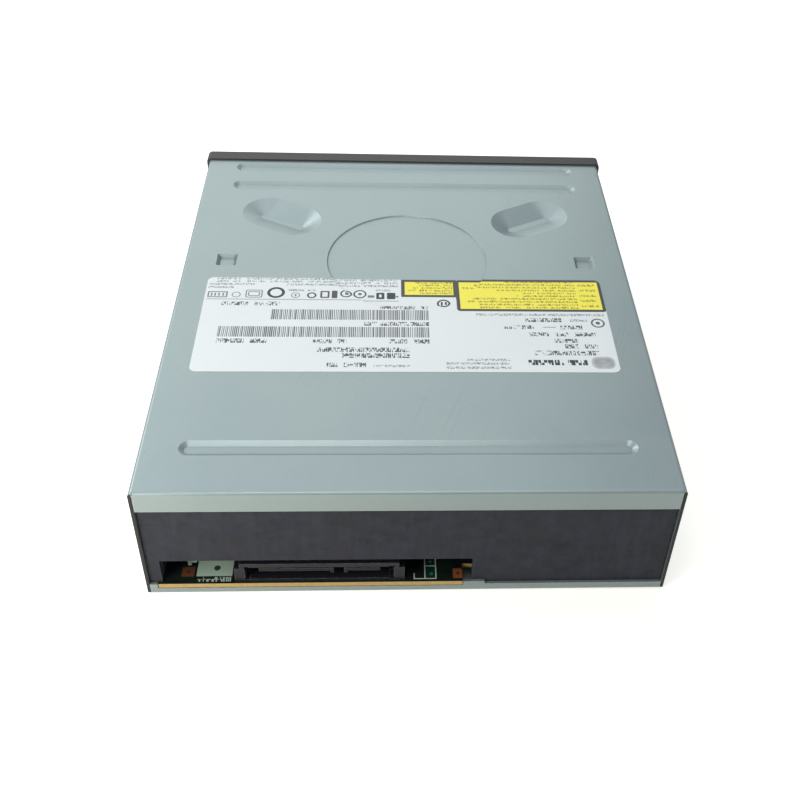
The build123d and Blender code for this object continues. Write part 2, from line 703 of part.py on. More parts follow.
def front_cable_socket():
    x, width = FRONT_CABLE
    half = width / 2 + 0.8
    socket = block(x - half, x + half, 10.5, 15.5, SMALL_BOARD_Z - 1.8, SMALL_BOARD_Z)
    under = SMALL_BOARD_Z - 1.2
    return socket - block(x - width / 2 - 0.1, x + width / 2 + 0.1, 13.5, 15.5, under - CABLE / 2 - RUNNING_GAP,
                          under + CABLE / 2 + RUNNING_GAP)


# Mainframe


def mainframe():
    face = rear_wall_depth()
    bottom = REAR_LIP + SEAT_GAP
    frame = block(-FRAME_EDGE, FRAME_EDGE, face - WALL, face, bottom, FRAME_TOP)
    frame -= block(WINDOW_RIGHT, WINDOW_LEFT, face - WALL, face, bottom, WINDOW_TOP)
    tab_right = BOARD_RIGHT - GAP - 6 - GAP
    frame -= block(tab_right, WINDOW_RIGHT, face - WALL, face, bottom, BOARD_Z + BOARD + SEAT_GAP)
    frame -= block(WINDOW_LEFT, FRAME_EDGE, face - WALL, face, bottom, BOARD_Z + BOARD + SEAT_GAP)
    deck = Rectangle(2 * FRAME_SIDE, face - WALL - DECK_FRONT)
    well = Rectangle(2 * WELL_X, WELL_REAR - WELL_FRONT)
    deck_mid = (face - WALL + DECK_FRONT) / 2
    frame += plan(deck, 0, deck_mid, DECK_Z, DECK_Z + DECK) - plan(well, 0, (WELL_FRONT + WELL_REAR) / 2, DECK_Z, DECK_Z + DECK)
    wall_bottom = SIDE_LIP + GAP
    ledge_top = TRAY_TOP - TRAY_THICKNESS - RAIL_DROP - GAP
    for side in (-1, 1):
        inner = FRAME_SIDE - WALL
        frame += block(side * inner, side * FRAME_SIDE, DECK_FRONT, face - WALL, wall_bottom, WALL_TOP)
        frame += block(side * (TRAY_HALF - RAIL), side * inner, DECK_FRONT, TRAY_REAR + 2, ledge_top - LEDGE, ledge_top)
        tab_z = TRAY_TOP + TAB_LIFT
        for depth in (16.0, 84.0, TRAY_REAR - 23.0):
            frame += block(side * (TRAY_HALF + SLIDE_GAP), side * inner, depth - 7, depth + 7, ledge_top, tab_z + TAB)
            frame += block(side * (TRAY_HALF - 2.2), side * inner, depth - 4, depth + 4, tab_z, tab_z + TAB)
        # gussets that tie the wall to the deck
        for depth in (40.0, 70.0, 100.0):
            frame += block(side * (inner - 4), side * inner, depth - 1, depth + 1, DECK_Z + DECK, ledge_top - LEDGE)
        for depth in mount_depths():
            for z in (MOUNT_LOW, MOUNT_LOW + MOUNT_RISE):
                frame -= rod_along_x(depth, z, side * (FRAME_SIDE - WALL - 1.4), side * (FRAME_SIDE + 1), COLLAR + GAP)
        frame += pivot_bearing(side)
        frame -= pivot_bore(side)
        # leg and channel end for the cam slider
        frame += block(side * (WELL_X - 4), side * WELL_X, WELL_FRONT, SLIDER_FRONT + SLIDER + 1.5, SLIDER_Z - GAP - CHANNEL,
                       DECK_Z + DECK)
        frame += block(side * WELL_X, side * (WELL_X + 2), WELL_FRONT - 4, SLIDER_FRONT + SLIDER + 1.5, DECK_Z, DECK_Z + DECK)
        for depth in CASE_SCREW_DEPTHS:
            boss_bottom = DIMPLE_RISE + SHEET
            frame += post(side * CASE_SCREW_X, depth, boss_bottom, DECK_Z, DIMPLE_FLOOR)
            frame -= post(side * CASE_SCREW_X, depth, boss_bottom, DIMPLE_RISE + CASE_SCREW_LENGTH + 0.5, CASE_SCREW + SCREW_GAP)
    frame += slider_channel()
    frame += front_wall()
    for x, depth in BOARD_SCREWS:
        frame += post(x, depth, BOARD_Z + BOARD, DECK_Z, BOARD_BOSS)
        frame -= post(x, depth, BOARD_Z + BOARD, BOARD_Z + BOARD_SCREW_LENGTH + 0.5, BOARD_SCREW + SCREW_GAP)
    frame -= post(MOTOR_X, MOTOR_DEPTH, DECK_Z, DECK_Z + DECK, 3.2)
    for side in (-1, 1):
        frame -= post(MOTOR_X + side * MOTOR_SCREW_X, MOTOR_DEPTH, DECK_Z, DECK_Z + DECK, MOTOR_SCREW + SEAT_GAP)
    # room for the large wheel's teeth in the front wall
    frame -= post(wheel_x(), WHEEL_DEPTH, gear_z() - GAP, gear_z() + WHEEL_THICKNESS + GAP, wheel_tip() + 0.5)
    for x, depth in gear_axes():
        frame += post(x, depth, DECK_Z + DECK, gear_z() - RUNNING_GAP, GEAR_POST + 1)
        frame += post(x, depth, DECK_Z + DECK, gear_z() + WHEEL_THICKNESS + PULLEY_THICKNESS, GEAR_POST)
    # bosses that hold the front board
    for x in (SMALL_BOARD_LEFT + 3, SMALL_BOARD_RIGHT - 3):
        frame += post(x, SMALL_BOARD_REAR - 3, SMALL_BOARD_Z + SMALL_BOARD, DECK_Z, 2.4)
        frame -= post(x, SMALL_BOARD_REAR - 3, SMALL_BOARD_Z, SMALL_BOARD_Z + BOARD_SCREW_LENGTH + 0.5, BOARD_SCREW + SCREW_GAP)
    return frame


def pivot_bearing(side):
    z = PIVOT_Z
    inner = BASE_HALF + SLIDE_GAP
    return block(side * inner, side * (inner + 4.2), PIVOT_DEPTH - 4.5, PIVOT_DEPTH + 4.5, DECK_Z, z + 4.0)


def pivot_bore(side):
    inner = BASE_HALF + SLIDE_GAP
    return rod_along_x(PIVOT_DEPTH, PIVOT_Z, side * (inner - 1), side * (inner + 6), PIVOT + RUNNING_GAP)


def slider_channel():
    """Cross rail under the cam slider, with a lip behind it."""
    bottom = SLIDER_Z - GAP - CHANNEL
    back = SLIDER_FRONT + SLIDER
    rail = block(-WELL_X, WELL_X, WELL_FRONT, back + 1.5, bottom, bottom + CHANNEL)
    rail += block(-WELL_X, WELL_X, back + GAP, back + 1.5, bottom, SLIDER_Z + 1.0)
    for x in (-44.0, 40.0):
        rail += block(x - 4, x + 4, WELL_FRONT - 0.5, SLIDER_FRONT - GAP, DECK_Z, DECK_Z + DECK)
        rail += block(x - 4, x + 4, WELL_FRONT, SLIDER_FRONT - GAP, bottom, DECK_Z)
    return rail


def front_wall():
    """Wall behind the bezel's lower half, open where the front board's switch and lamp look through."""
    top = DOOR_BOTTOM - 1.4
    wall = block(-FRAME_EDGE, FRAME_EDGE, DECK_FRONT, DECK_FRONT + WALL, SIDE_LIP + GAP, top)
    wall -= block(SMALL_BOARD_LEFT - 1, SMALL_BOARD_RIGHT + 1, DECK_FRONT, DECK_FRONT + WALL, SMALL_BOARD_Z - 1, DECK_Z)
    wall -= rod_along_y(PINHOLE_X, BUTTON_Z, DECK_FRONT, DECK_FRONT + WALL, PINHOLE + 0.5)
    for side in (-1, 1):
        wall -= block(side * 40 - 4, side * 40 + 4, DECK_FRONT, DECK_FRONT + WALL, SIDE_LIP, SIDE_LIP + 0.5)
    return wall


# Disc tray


def disc_tray():
    bottom = TRAY_TOP - TRAY_THICKNESS
    length = TRAY_REAR - TRAY_FRONT
    outline = RectangleRounded(2 * TRAY_HALF, length, 3)
    tray = plan(outline, 0, (TRAY_FRONT + TRAY_REAR) / 2, bottom, TRAY_TOP)
    floor = TRAY_TOP - RECESS
    tray -= post(0, DISC_DEPTH, floor, TRAY_TOP, DISC)
    tray -= post(0, DISC_DEPTH, floor - SMALL_DISC_DROP, floor, SMALL_DISC)
    slot = plan(Circle(TRAY_SLOT), 0, DISC_DEPTH, bottom, TRAY_TOP)
    slot += block(-TRAY_SLOT, TRAY_SLOT, DISC_DEPTH, TRAY_SLOT_END, bottom, TRAY_TOP)
    tray -= slot
    # finger scallops at the disc's four quarters
    for angle in (45, 135, 225, 315):
        x, depth = DISC * cos(radians(angle)), DISC_DEPTH + DISC * sin(radians(angle))
        tray -= post(x, depth, floor, TRAY_TOP, 7)
    rail_top = bottom
    for side in (-1, 1):
        tray += block(side * (TRAY_HALF - RAIL), side * TRAY_HALF, 3, TRAY_REAR - 3, bottom - RAIL_DROP, rail_top)
        tray += block(side * 30, side * 31.6, 3, 40, bottom - 1.4, bottom)
    tray += rack()
    apron = block(-TRAY_HALF + 3, TRAY_HALF - 3, TRAY_FRONT, TRAY_FRONT + APRON, bottom - RAIL_DROP, APRON_TOP)
    tray += apron
    # pockets that the door's clips snap into
    for x in (-48, 0, 48):
        tray -= block(x - 3.2, x + 3.2, TRAY_FRONT, TRAY_FRONT + APRON, TRAY_TOP + 0.6, TRAY_TOP + 2.2)
    tray -= block(-TRAY_HALF + 14, TRAY_HALF - 14, DISC_DEPTH + DISC + 8, TRAY_REAR - 4, TRAY_TOP - 0.8, TRAY_TOP)
    return tray


def rack():
    """Toothed rail under the tray's left side, in mesh with the drive pinion."""
    pitch = pi * RACK_MODULE
    top, root = RACK_MODULE, 1.25 * RACK_MODULE
    half_tip = pitch / 4 - BACKLASH / 4 - top * tan(PRESSURE)
    half_root = pitch / 4 - BACKLASH / 4 + root * tan(PRESSURE)
    tooth = make_face(Polyline((-root, -half_root), (top, -half_tip), (top, half_tip), (-root, half_root), close=True))
    count = int((TRAY_TRAVEL + 3 * pitch) / pitch)
    start = -1
    z0 = TRAY_TOP - TRAY_THICKNESS - RACK_DROP
    bar_end = WHEEL_DEPTH + (start + count) * pitch + pitch
    bar = block(RACK_X - root - RACK_BODY, RACK_X - root, WHEEL_DEPTH + (start - 1) * pitch, bar_end, z0, z0 + RACK_DROP)
    teeth = [Pos(RACK_X, at(WHEEL_DEPTH + (start + number + 0.5) * pitch), z0) * tooth for number in range(count)]
    return bar + extrude(Sketch(children=teeth), RACK_DROP)


def tray_door():
    door = block(-DOOR_HALF, DOOR_HALF, -BEZEL_THICKNESS, -BEZEL_THICKNESS + DOOR, DOOR_BOTTOM, DOOR_TOP)
    door = fillet(door.edges().filter_by(Axis.Y), 0.8)
    door = chamfer(door.faces().sort_by(Axis.Y)[0].edges(), 0.3)
    clip_z = TRAY_TOP + 0.8
    for x in (-48, 0, 48):
        door += block(x - 2.8, x + 2.8, -BEZEL_THICKNESS + DOOR, TRAY_FRONT + APRON + 0.4, clip_z, clip_z + 1.2)
    return door


# Loading gears, belt and motor


def gear_profile(module, teeth, turn):
    """Involute gear outline, each flank one arc through three points of the involute."""
    pitch_r, tip_r, root_r = module * teeth / 2, module * (teeth / 2 + 1), module * (teeth / 2 - 1.25)
    base_r = pitch_r * cos(PRESSURE)
    half_pitch = pi / (2 * teeth) - BACKLASH / (4 * pitch_r)

    def half_angle(radius):
        slope = acos(min(1.0, base_r / radius))
        return half_pitch + (tan(PRESSURE) - PRESSURE) - (tan(slope) - slope)

    def point(radius, angle):
        return (radius * cos(angle), radius * sin(angle))

    foot_r = max(root_r, base_r)
    mid_r = (foot_r + tip_r) / 2
    edges = []
    for number in range(teeth):
        centre = radians(turn) + 2 * pi * number / teeth
        foot, mid, tip = half_angle(foot_r), half_angle(mid_r), half_angle(tip_r)
        root_left, root_right = point(root_r, centre - foot), point(root_r, centre + foot)
        edges.append(Line(root_left, point(foot_r, centre - foot)) if foot_r > root_r + 1e-6 else None)
        edges.append(ThreePointArc(point(foot_r, centre - foot), point(mid_r, centre - mid), point(tip_r, centre - tip)))
        edges.append(ThreePointArc(point(tip_r, centre - tip), point(tip_r, centre), point(tip_r, centre + tip)))
        edges.append(ThreePointArc(point(tip_r, centre + tip), point(mid_r, centre + mid), point(foot_r, centre + foot)))
        edges.append(Line(point(foot_r, centre + foot), root_right) if foot_r > root_r + 1e-6 else None)
        step = 2 * pi / teeth
        edges.append(ThreePointArc(root_right, point(root_r, centre + step / 2), point(root_r, centre + step - foot)))
    return make_face(Wire([edge for edge in edges if edge is not None]))


def gear_z():
    return DECK_Z + DECK + GEAR_LIFT


def wheel_x():
    return RACK_X + RACK_MODULE * PINION_TEETH / 2


def pulley_place():
    distance = GEAR_MODULE * (WHEEL_TEETH + PULLEY_TEETH) / 2
    across = (distance**2 - PULLEY_OFFSET_Y**2) ** 0.5
    return wheel_x() + across, WHEEL_DEPTH + PULLEY_OFFSET_Y


def gear_axes():
    return ((wheel_x(), WHEEL_DEPTH), pulley_place())


def wheel_tip():
    return GEAR_MODULE * (WHEEL_TEETH / 2 + 1)


def drive_gear():
    x, y = wheel_x(), WHEEL_DEPTH
    px, py = pulley_place()
    line = degrees(pi / 2 - acos(max(-1.0, min(1.0, (py - y) / hypot(px - x, py - y)))))
    z0 = gear_z()
    z1 = z0 + WHEEL_THICKNESS
    top = TRAY_TOP - TRAY_THICKNESS - GAP
    wheel = plan(gear_profile(GEAR_MODULE, WHEEL_TEETH, line), x, y, z0, z1)
    wheel += plan(gear_profile(RACK_MODULE, PINION_TEETH, 180), x, y, z1, top)
    wheel -= post(x, y, z0, top, GEAR_POST + RUNNING_GAP)
    return wheel


def pulley_gear():
    px, py = pulley_place()
    x, y = wheel_x(), WHEEL_DEPTH
    line = degrees(pi / 2 - acos(max(-1.0, min(1.0, (py - y) / hypot(px - x, py - y)))))
    z0 = gear_z()
    z1 = z0 + WHEEL_THICKNESS
    top = z1 + PULLEY_THICKNESS
    gear = plan(gear_profile(GEAR_MODULE, PULLEY_TEETH, line + 180 + 180 / PULLEY_TEETH), px, py, z0, z1)
    gear += grooved_pulley(px, py, z1, PULLEY)
    gear -= post(px, py, z0, top, GEAR_POST + RUNNING_GAP)
    return gear


def grooved_pulley(x, depth, z0, groove):
    """A pulley with a square groove for the belt, standing on z0."""
    rim = groove + BELT * 0.8
    flange = (PULLEY_THICKNESS - BELT) / 2 - SEAT_GAP
    z1, z2, z3 = z0 + flange, z0 + PULLEY_THICKNESS - flange, z0 + PULLEY_THICKNESS
    points = [(0, z0), (rim, z0), (rim, z1), (groove, z1), (groove, z2), (rim, z2), (rim, z3), (0, z3)]
    return turned(points, x, depth)


def motor_pulley():
    z0 = gear_z() + WHEEL_THICKNESS
    pulley = grooved_pulley(MOTOR_X, MOTOR_DEPTH, z0, MOTOR_PULLEY)
    shaft_bottom = DECK_Z - 0.8
    return pulley + post(MOTOR_X, MOTOR_DEPTH, shaft_bottom, z0, MOTOR_SHAFT)


def drive_belt():
    px, py = pulley_place()
    z0 = gear_z() + WHEEL_THICKNESS + (PULLEY_THICKNESS - BELT) / 2
    inner = belt_loop(px, py, RUNNING_GAP)
    outer = belt_loop(px, py, RUNNING_GAP + BELT)
    return extrude(Pos(0, 0, z0) * (outer - inner), BELT)


def belt_loop(px, py, offset):
    """The outline round both pulleys at this distance outside their grooves."""
    big = Pos(px, at(py)) * Circle(PULLEY + offset)
    small = Pos(MOTOR_X, at(MOTOR_DEPTH)) * Circle(MOTOR_PULLEY + offset)
    return make_hull([*big.edges(), *small.edges()])


def loading_motor():
    top = DECK_Z
    motor = post(MOTOR_X, MOTOR_DEPTH, top - LOADING_MOTOR_HEIGHT, top, LOADING_MOTOR)
    motor = fillet(motor.edges().filter_by(GeomType.CIRCLE).sort_by(Axis.Z)[0], 0.8)
    motor += post(MOTOR_X, MOTOR_DEPTH, top, top + 0.5, MOTOR_BOSS)
    motor -= post(MOTOR_X, MOTOR_DEPTH, top - 1, top + 0.5, MOTOR_SHAFT + RUNNING_GAP)
    for side in (-1, 1):
        motor -= post(MOTOR_X + side * MOTOR_SCREW_X, MOTOR_DEPTH, top + DECK - MOTOR_SCREW_LENGTH - 0.5, top, MOTOR_SCREW + SCREW_GAP)
    return motor


def motor_screws():
    screws = []
    for side in (-1, 1):
        x = MOTOR_X + side * MOTOR_SCREW_X
        z = DECK_Z + DECK
        head = post(x, MOTOR_DEPTH, z, z + 0.9, 1.9) - Pos(x, at(MOTOR_DEPTH), z + 0.7) * Box(2.2, 0.5, 0.4)
        screws.append(head + post(x, MOTOR_DEPTH, z - MOTOR_SCREW_LENGTH, z, MOTOR_SCREW))
    return screws


def cam_slider():
    back = SLIDER_FRONT + SLIDER
    slider = block(SLIDER_LEFT, SLIDER_RIGHT, SLIDER_FRONT, back, SLIDER_Z, SLIDER_TOP)
    low_z = lowered_pin_z()
    run, rise = SLIDER_TRAVEL, CAM_PIN_Z - low_z
    slope = degrees(asin(rise / hypot(run, rise)))
    for x in CAM_PIN_XS:
        slot = SlotCenterToCenter(hypot(run, rise), 2 * (CAM_PIN + CAM_PLAY))
        plane = Plane((x - run / 2, at(back), (low_z + CAM_PIN_Z) / 2), x_dir=(1, 0, 0), z_dir=(0, -1, 0))
        slider -= extrude(plane * (Rot(Z=-slope) * slot), SLIDER)
    # top rib that the mainframe's deck edge guides
    slider = chamfer(slider.edges().filter_by(Axis.Y).group_by(Axis.Z)[-1], 1.0)
    return slider


def lowered_pin_z():
    arm = PIVOT_DEPTH - (SLIDER_FRONT + SLIDER / 2)
    drop = CAM_PIN_Z - PIVOT_Z
    return PIVOT_Z + drop * cos(radians(TILT)) - arm * sin(radians(TILT))


# Loader base, dampers and traverse plate, level


def loader_base():
    outer = RectangleRounded(2 * BASE_HALF, BASE_REAR - BASE_FRONT, 4)
    base = plan(outer, 0, (BASE_FRONT + BASE_REAR) / 2, BASE_BOTTOM, BASE_TOP)
    inner = RectangleRounded(2 * BASE_OPENING, BASE_REAR - BASE_FRONT - 2 * BASE_BEAM, 2)
    base -= plan(inner, 0, (BASE_FRONT + BASE_REAR) / 2, BASE_BOTTOM, BASE_TOP)
    lighten = (BASE_HALF - BASE_OPENING) / 2 - 1.2
    for side in (-1, 1):
        x = side * (BASE_HALF + BASE_OPENING) / 2
        # weight-saving channels along both side beams
        base -= block(x - lighten, x + lighten, BASE_FRONT + 8, PIVOT_DEPTH - 6, BASE_BOTTOM + 1.6, BASE_TOP)
        base += rod_along_x(PIVOT_DEPTH, PIVOT_Z, side * (BASE_HALF - 2), side * (BASE_HALF + PIVOT_LENGTH - 0.4), PIVOT)
        for depth in DAMPER_DEPTHS:
            arm_in = DAMPER_X - DAMPER - 0.6
            base += block(side * arm_in, side * (BASE_OPENING + 0.5), depth - 4.2, depth + 4.2, BASE_BOTTOM, BASE_BOTTOM + SHELF)
            base -= post(side * DAMPER_X, depth, BASE_BOTTOM, BASE_BOTTOM + SHELF, DAMPER_BORE - 0.1 + SCREW_GAP)
    for x in CAM_PIN_XS:
        base += rod_along_y(x, CAM_PIN_Z, SLIDER_FRONT - 0.5, BASE_FRONT + 1, CAM_PIN)
    return lowered(base)


def damper_z():
    return BASE_BOTTOM + SHELF


def plate_z():
    return damper_z() + (DAMPER_HEIGHT - TRAVERSE) / 2


def dampers():
    rings = []
    z0, z3 = damper_z(), damper_z() + DAMPER_HEIGHT
    z1, z2 = plate_z() - RUNNING_GAP, plate_z() + TRAVERSE + RUNNING_GAP
    for side in (-1, 1):
        for depth in DAMPER_DEPTHS:
            points = [(DAMPER_BORE, z0), (DAMPER, z0), (DAMPER, z1), (DAMPER_NECK, z1), (DAMPER_NECK, z2), (DAMPER, z2),
                      (DAMPER, z3), (DAMPER_BORE, z3)]
            rings.append(lowered(turned(points, side * DAMPER_X, depth)))
    return rings


def damper_screws():
    screws = []
    z = damper_z() + DAMPER_HEIGHT
    for side in (-1, 1):
        for depth in DAMPER_DEPTHS:
            x = side * DAMPER_X
            head = post(x, depth, z, z + 1.0, DAMPER_SCREW_HEAD) - Pos(x, at(depth), z + 0.8) * Box(3.0, 0.6, 0.4)
            shank = post(x, depth, BASE_BOTTOM, z, DAMPER_BORE - 0.1)
            screws.append(lowered(head + shank))
    return screws


def traverse_plate():
    z = plate_z()
    outline = RectangleRounded(2 * TRAVERSE_HALF, TRAVERSE_REAR - TRAVERSE_FRONT, 2)
    plate = plan(outline, 0, (TRAVERSE_FRONT + TRAVERSE_REAR) / 2, z, z + TRAVERSE)
    plate -= post(0, DISC_DEPTH, z, z + TRAVERSE, BEARING_HOUSING + 3.0)
    slot_front, slot_rear = sled_middle() - SLED_LENGTH / 2 - 1.5, sled_limit() + 2 * SLED_STOP_GAP
    plate -= block(-PLATE_SLOT, PLATE_SLOT, slot_front, slot_rear, z, z + TRAVERSE)
    plate -= block(SCREW_X - FEED_MOTOR - 0.6, SCREW_X + FEED_MOTOR + 0.6, FEED_MOTOR_FRONT - 0.6,
                   FEED_MOTOR_FRONT + FEED_MOTOR_LENGTH + 0.6, z, z + TRAVERSE)
    for side in (-1, 1):
        plate -= block(side * 34.0, side * TRAVERSE_HALF, DAMPER_DEPTHS[0] + 15, DAMPER_DEPTHS[1] - 8, z, z + TRAVERSE)
        for depth in DAMPER_DEPTHS:
            plate -= post(side * DAMPER_X, depth, z, z + TRAVERSE, DAMPER_NECK + RUNNING_GAP)
    for x, depth in screw_bearings():
        plate += feed_tab(x, depth)
    return lowered(plate)


def screw_bearings():
    return ((SCREW_X, FEED_END),)


def feed_tab(x, depth):
    """Upright tab, bent from the plate, that carries the feed screw's far end."""
    z = plate_z()
    tab = block(x - 2.6, x + 2.6, depth, depth + TRAVERSE, z, SCREW_Z + 2.6)
    return tab - rod_along_y(x, SCREW_Z, depth - 1, depth + TRAVERSE + 1, FEED_SCREW * 0.6 + RUNNING_GAP)


def guide_rods():
    return [lowered(rod_along_y(side * ROD_X, ROD_Z, ROD_FRONT, ROD_REAR, ROD)) for side in (-1, 1)]


def rod_holders():
    """Clamps at the rods' four ends, each a block with a seat for the rod."""
    z = plate_z() + TRAVERSE
    holders = []
    for side in (-1, 1):
        for d0, d1 in ((ROD_FRONT - ROD_STOP, ROD_FRONT + ROD_SEAT), (ROD_REAR - ROD_SEAT, ROD_REAR + ROD_STOP)):
            x = side * ROD_X
            holder = block(x - 3.0, x + 3.0, d0, d1, z, ROD_Z + ROD + 1.2)
            holder = fillet(holder.edges().filter_by(Axis.Y).group_by(Axis.Z)[-1], 1.0)
            holder -= rod_along_y(x, ROD_Z, ROD_FRONT - SCREW_GAP, ROD_REAR + SCREW_GAP, ROD + SCREW_GAP)
            holders.append(lowered(holder))
    return holders


# Spindle


def stator_z():
    return TURNTABLE_TOP - TURNTABLE_HEIGHT - ROTOR_HEIGHT + STATOR_LIFT


def motor_base():
    """Motor plate under the traverse, its bearing housing and the wound stator core."""
    top = plate_z()
    base = plan(RectangleRounded(30, 26, 2), 0, DISC_DEPTH - 1, top - MOTOR_PLATE, top)
    rotor_top = TURNTABLE_TOP - TURNTABLE_HEIGHT
    housing_top = rotor_top - ROTOR_WALL - SLIDE_GAP
    base += post(0, DISC_DEPTH, top - MOTOR_PLATE, housing_top, BEARING_HOUSING)
    arm = Pos(STATOR / 2, 0) * Rectangle(STATOR, STATOR_ARM)
    shoe = Pos(STATOR - STATOR_SHOE / 2, 0) * Rectangle(STATOR_SHOE, STATOR_SHOE_WIDTH)
    core = Circle(BEARING_HOUSING + STATOR_RING)
    for number in range(STATOR_POLES):
        core += Rot(Z=number * 360 / STATOR_POLES) * (arm + shoe)
    core = core & Circle(STATOR)
    base += plan(core, 0, DISC_DEPTH, stator_z(), stator_z() + STATOR_HEIGHT)
    base -= post(0, DISC_DEPTH, top - MOTOR_PLATE + 0.4, housing_top, SPINDLE_SHAFT + RUNNING_GAP)
    return lowered(base)


def stator_coils():
    """One winding round each stator arm, widening towards the pole shoe."""
    inner = BEARING_HOUSING + STATOR_RING + 2 * WINDING_END
    outer = STATOR - STATOR_SHOE - WINDING_END
    near, far = STATOR_ARM / 2 + WINDING, STATOR_ARM / 2 + 2 * WINDING
    outline = Polygon((inner, -near), (outer, -far), (outer, far), (inner, near), align=None)
    z0, z1 = stator_z() - WINDING, stator_z() + STATOR_HEIGHT + WINDING
    winding = extrude(Pos(0, 0, z0) * outline, z1 - z0)
    winding = fillet(winding.edges().filter_by(lambda edge: abs(edge.center().Y) > STATOR_ARM / 2), WINDING / 2)
    winding -= Pos(STATOR / 2, 0, stator_z() + STATOR_HEIGHT / 2) * Box(STATOR, STATOR_ARM, STATOR_HEIGHT)
    middle = Pos(0, at(DISC_DEPTH), 0)
    return [lowered(middle * Rot(Z=number * 360 / STATOR_POLES) * winding) for number in range(STATOR_POLES)]


def rotor():
    top = TURNTABLE_TOP - TURNTABLE_HEIGHT
    bottom = top - ROTOR_HEIGHT
    shaft_bottom = plate_z() - MOTOR_PLATE + 0.7
    points = [(0, shaft_bottom), (SPINDLE_SHAFT, shaft_bottom), (SPINDLE_SHAFT, top - ROTOR_WALL),
              (ROTOR - ROTOR_WALL, top - ROTOR_WALL), (ROTOR - ROTOR_WALL, bottom), (ROTOR, bottom), (ROTOR, top), (0, top)]
    return lowered(turned(points, 0, DISC_DEPTH))


def turntable():
    z0 = TURNTABLE_TOP - TURNTABLE_HEIGHT
    top = TURNTABLE_TOP
    points = [(0, z0), (ROTOR - 1, z0), (TURNTABLE, z0 + 2.2), (TURNTABLE, top), (TURNTABLE - 0.4, top),
              (TURNTABLE - 0.4, top - PAD_RING), (TURNTABLE - 3.6, top - PAD_RING), (TURNTABLE - 3.6, top), (HUB + 0.8, top),
              (HUB + 0.8, top - 0.8), (HUB, top - 0.8), (HUB, top + 0.9), (HUB - 1.6, top + HUB_HEIGHT), (0, top + HUB_HEIGHT)]
    table = turned(points, 0, DISC_DEPTH)
    for number in range(3):
        # slits that free the three centring fingers
        turn = Rot(Z=number * 120)
        for edge in (-1, 1):
            slit = Pos(HUB - 1.0, edge * 2.2, top + 0.6) * Box(3.0, 0.5, 2.8)
            table -= Pos(0, at(DISC_DEPTH), 0) * turn * slit
    return lowered(table)


def friction_ring():
    top = TURNTABLE_TOP
    inner, outer = TURNTABLE - 3.6 + 0.05, TURNTABLE - 0.4 - 0.05
    points = [(inner, top - PAD_RING), (outer, top - PAD_RING), (outer, top + 0.1), (inner, top + 0.1)]
    return lowered(turned(points, 0, DISC_DEPTH))


# Laser pickup and feed


def sled_middle():
    return DISC_DEPTH + LENS_FIRST


def sled_limit():
    """Depth of the sled's rear face at the end of its travel."""
    return sled_middle() + SLED_LENGTH / 2 + SLED_TRAVEL


def pickup_body():
    mid = sled_middle()
    front, rear = mid - SLED_LENGTH / 2, mid + SLED_LENGTH / 2
    deck_bottom = plate_z() + TRAVERSE + 0.5
    body = block(-SLED_HALF, SLED_HALF, front, rear, deck_bottom, SLED_TOP)
    body += block(-SLED_KEEL, SLED_KEEL, front + 1, rear, SLED_BOTTOM, deck_bottom)
    body = fillet(body.edges().filter_by(Axis.Z), 1.0)
    # hollow that clears the rotor and turntable at the innermost track
    body -= post(0, DISC_DEPTH, SLED_BOTTOM, SLED_TOP, TURNTABLE + 0.8)
    body -= rod_along_y(ROD_X, ROD_Z, front, rear, ROD + RUNNING_GAP)
    body -= rod_along_y(-ROD_X, ROD_Z, front, rear, ROD + RUNNING_GAP)
    body -= block(-SLED_HALF, -ROD_X, front, rear, ROD_Z - ROD - RUNNING_GAP, ROD_Z + ROD + RUNNING_GAP)
    # side arm that reaches the feed screw
    arm = block(SLED_HALF - 0.5, SCREW_X - FEED_SCREW - 0.9, front + 1, front + 1 + NUT_LENGTH, SCREW_Z - 1.6, SCREW_Z + 1.6)
    body += arm
    body -= block(-YOKE_HALF_X - GAP, YOKE_HALF_X + GAP, mid - YOKE_HALF_Y - GAP, mid + YOKE_HALF_Y + GAP,
                  SLED_TOP - ACTUATOR_WELL, SLED_TOP)
    return lowered(body)


def pickup_cover():
    """Thin steel plate over the sled's optics, open round the lens and hollow like the sled."""
    mid, edge, top = sled_middle(), PICKUP_COVER_EDGE, SLED_TOP + PICKUP_COVER
    length = SLED_LENGTH - 2 * edge
    cover = plan(RectangleRounded(2 * PICKUP_COVER_HALF, length, edge), 0, mid, SLED_TOP, top)
    cover -= post(0, DISC_DEPTH, SLED_TOP, top, TURNTABLE + 2 * edge)
    cover -= block(-YOKE_HALF_X - edge, YOKE_HALF_X + edge, mid - YOKE_HALF_Y - GAP, mid + YOKE_HALF_Y + GAP, SLED_TOP, top)
    return lowered(cover)


def feed_nut():
    """Half nut on the sled's side arm, hugging the screw from the sled's side."""
    front = sled_middle() - SLED_LENGTH / 2 + 1
    x0 = SCREW_X - FEED_SCREW - 0.9
    nut = block(x0, SCREW_X + 0.4, front, front + NUT_LENGTH, SCREW_Z - NUT_HALF, SCREW_Z + NUT_HALF)
    nut -= rod_along_y(SCREW_X, SCREW_Z, front, front + NUT_LENGTH, FEED_SCREW + RUNNING_GAP)
    nut -= block(SCREW_X, SCREW_X + 1, front, front + NUT_LENGTH, SCREW_Z - FEED_SCREW - RUNNING_GAP, SCREW_Z + FEED_SCREW + RUNNING_GAP)
    return lowered(nut)


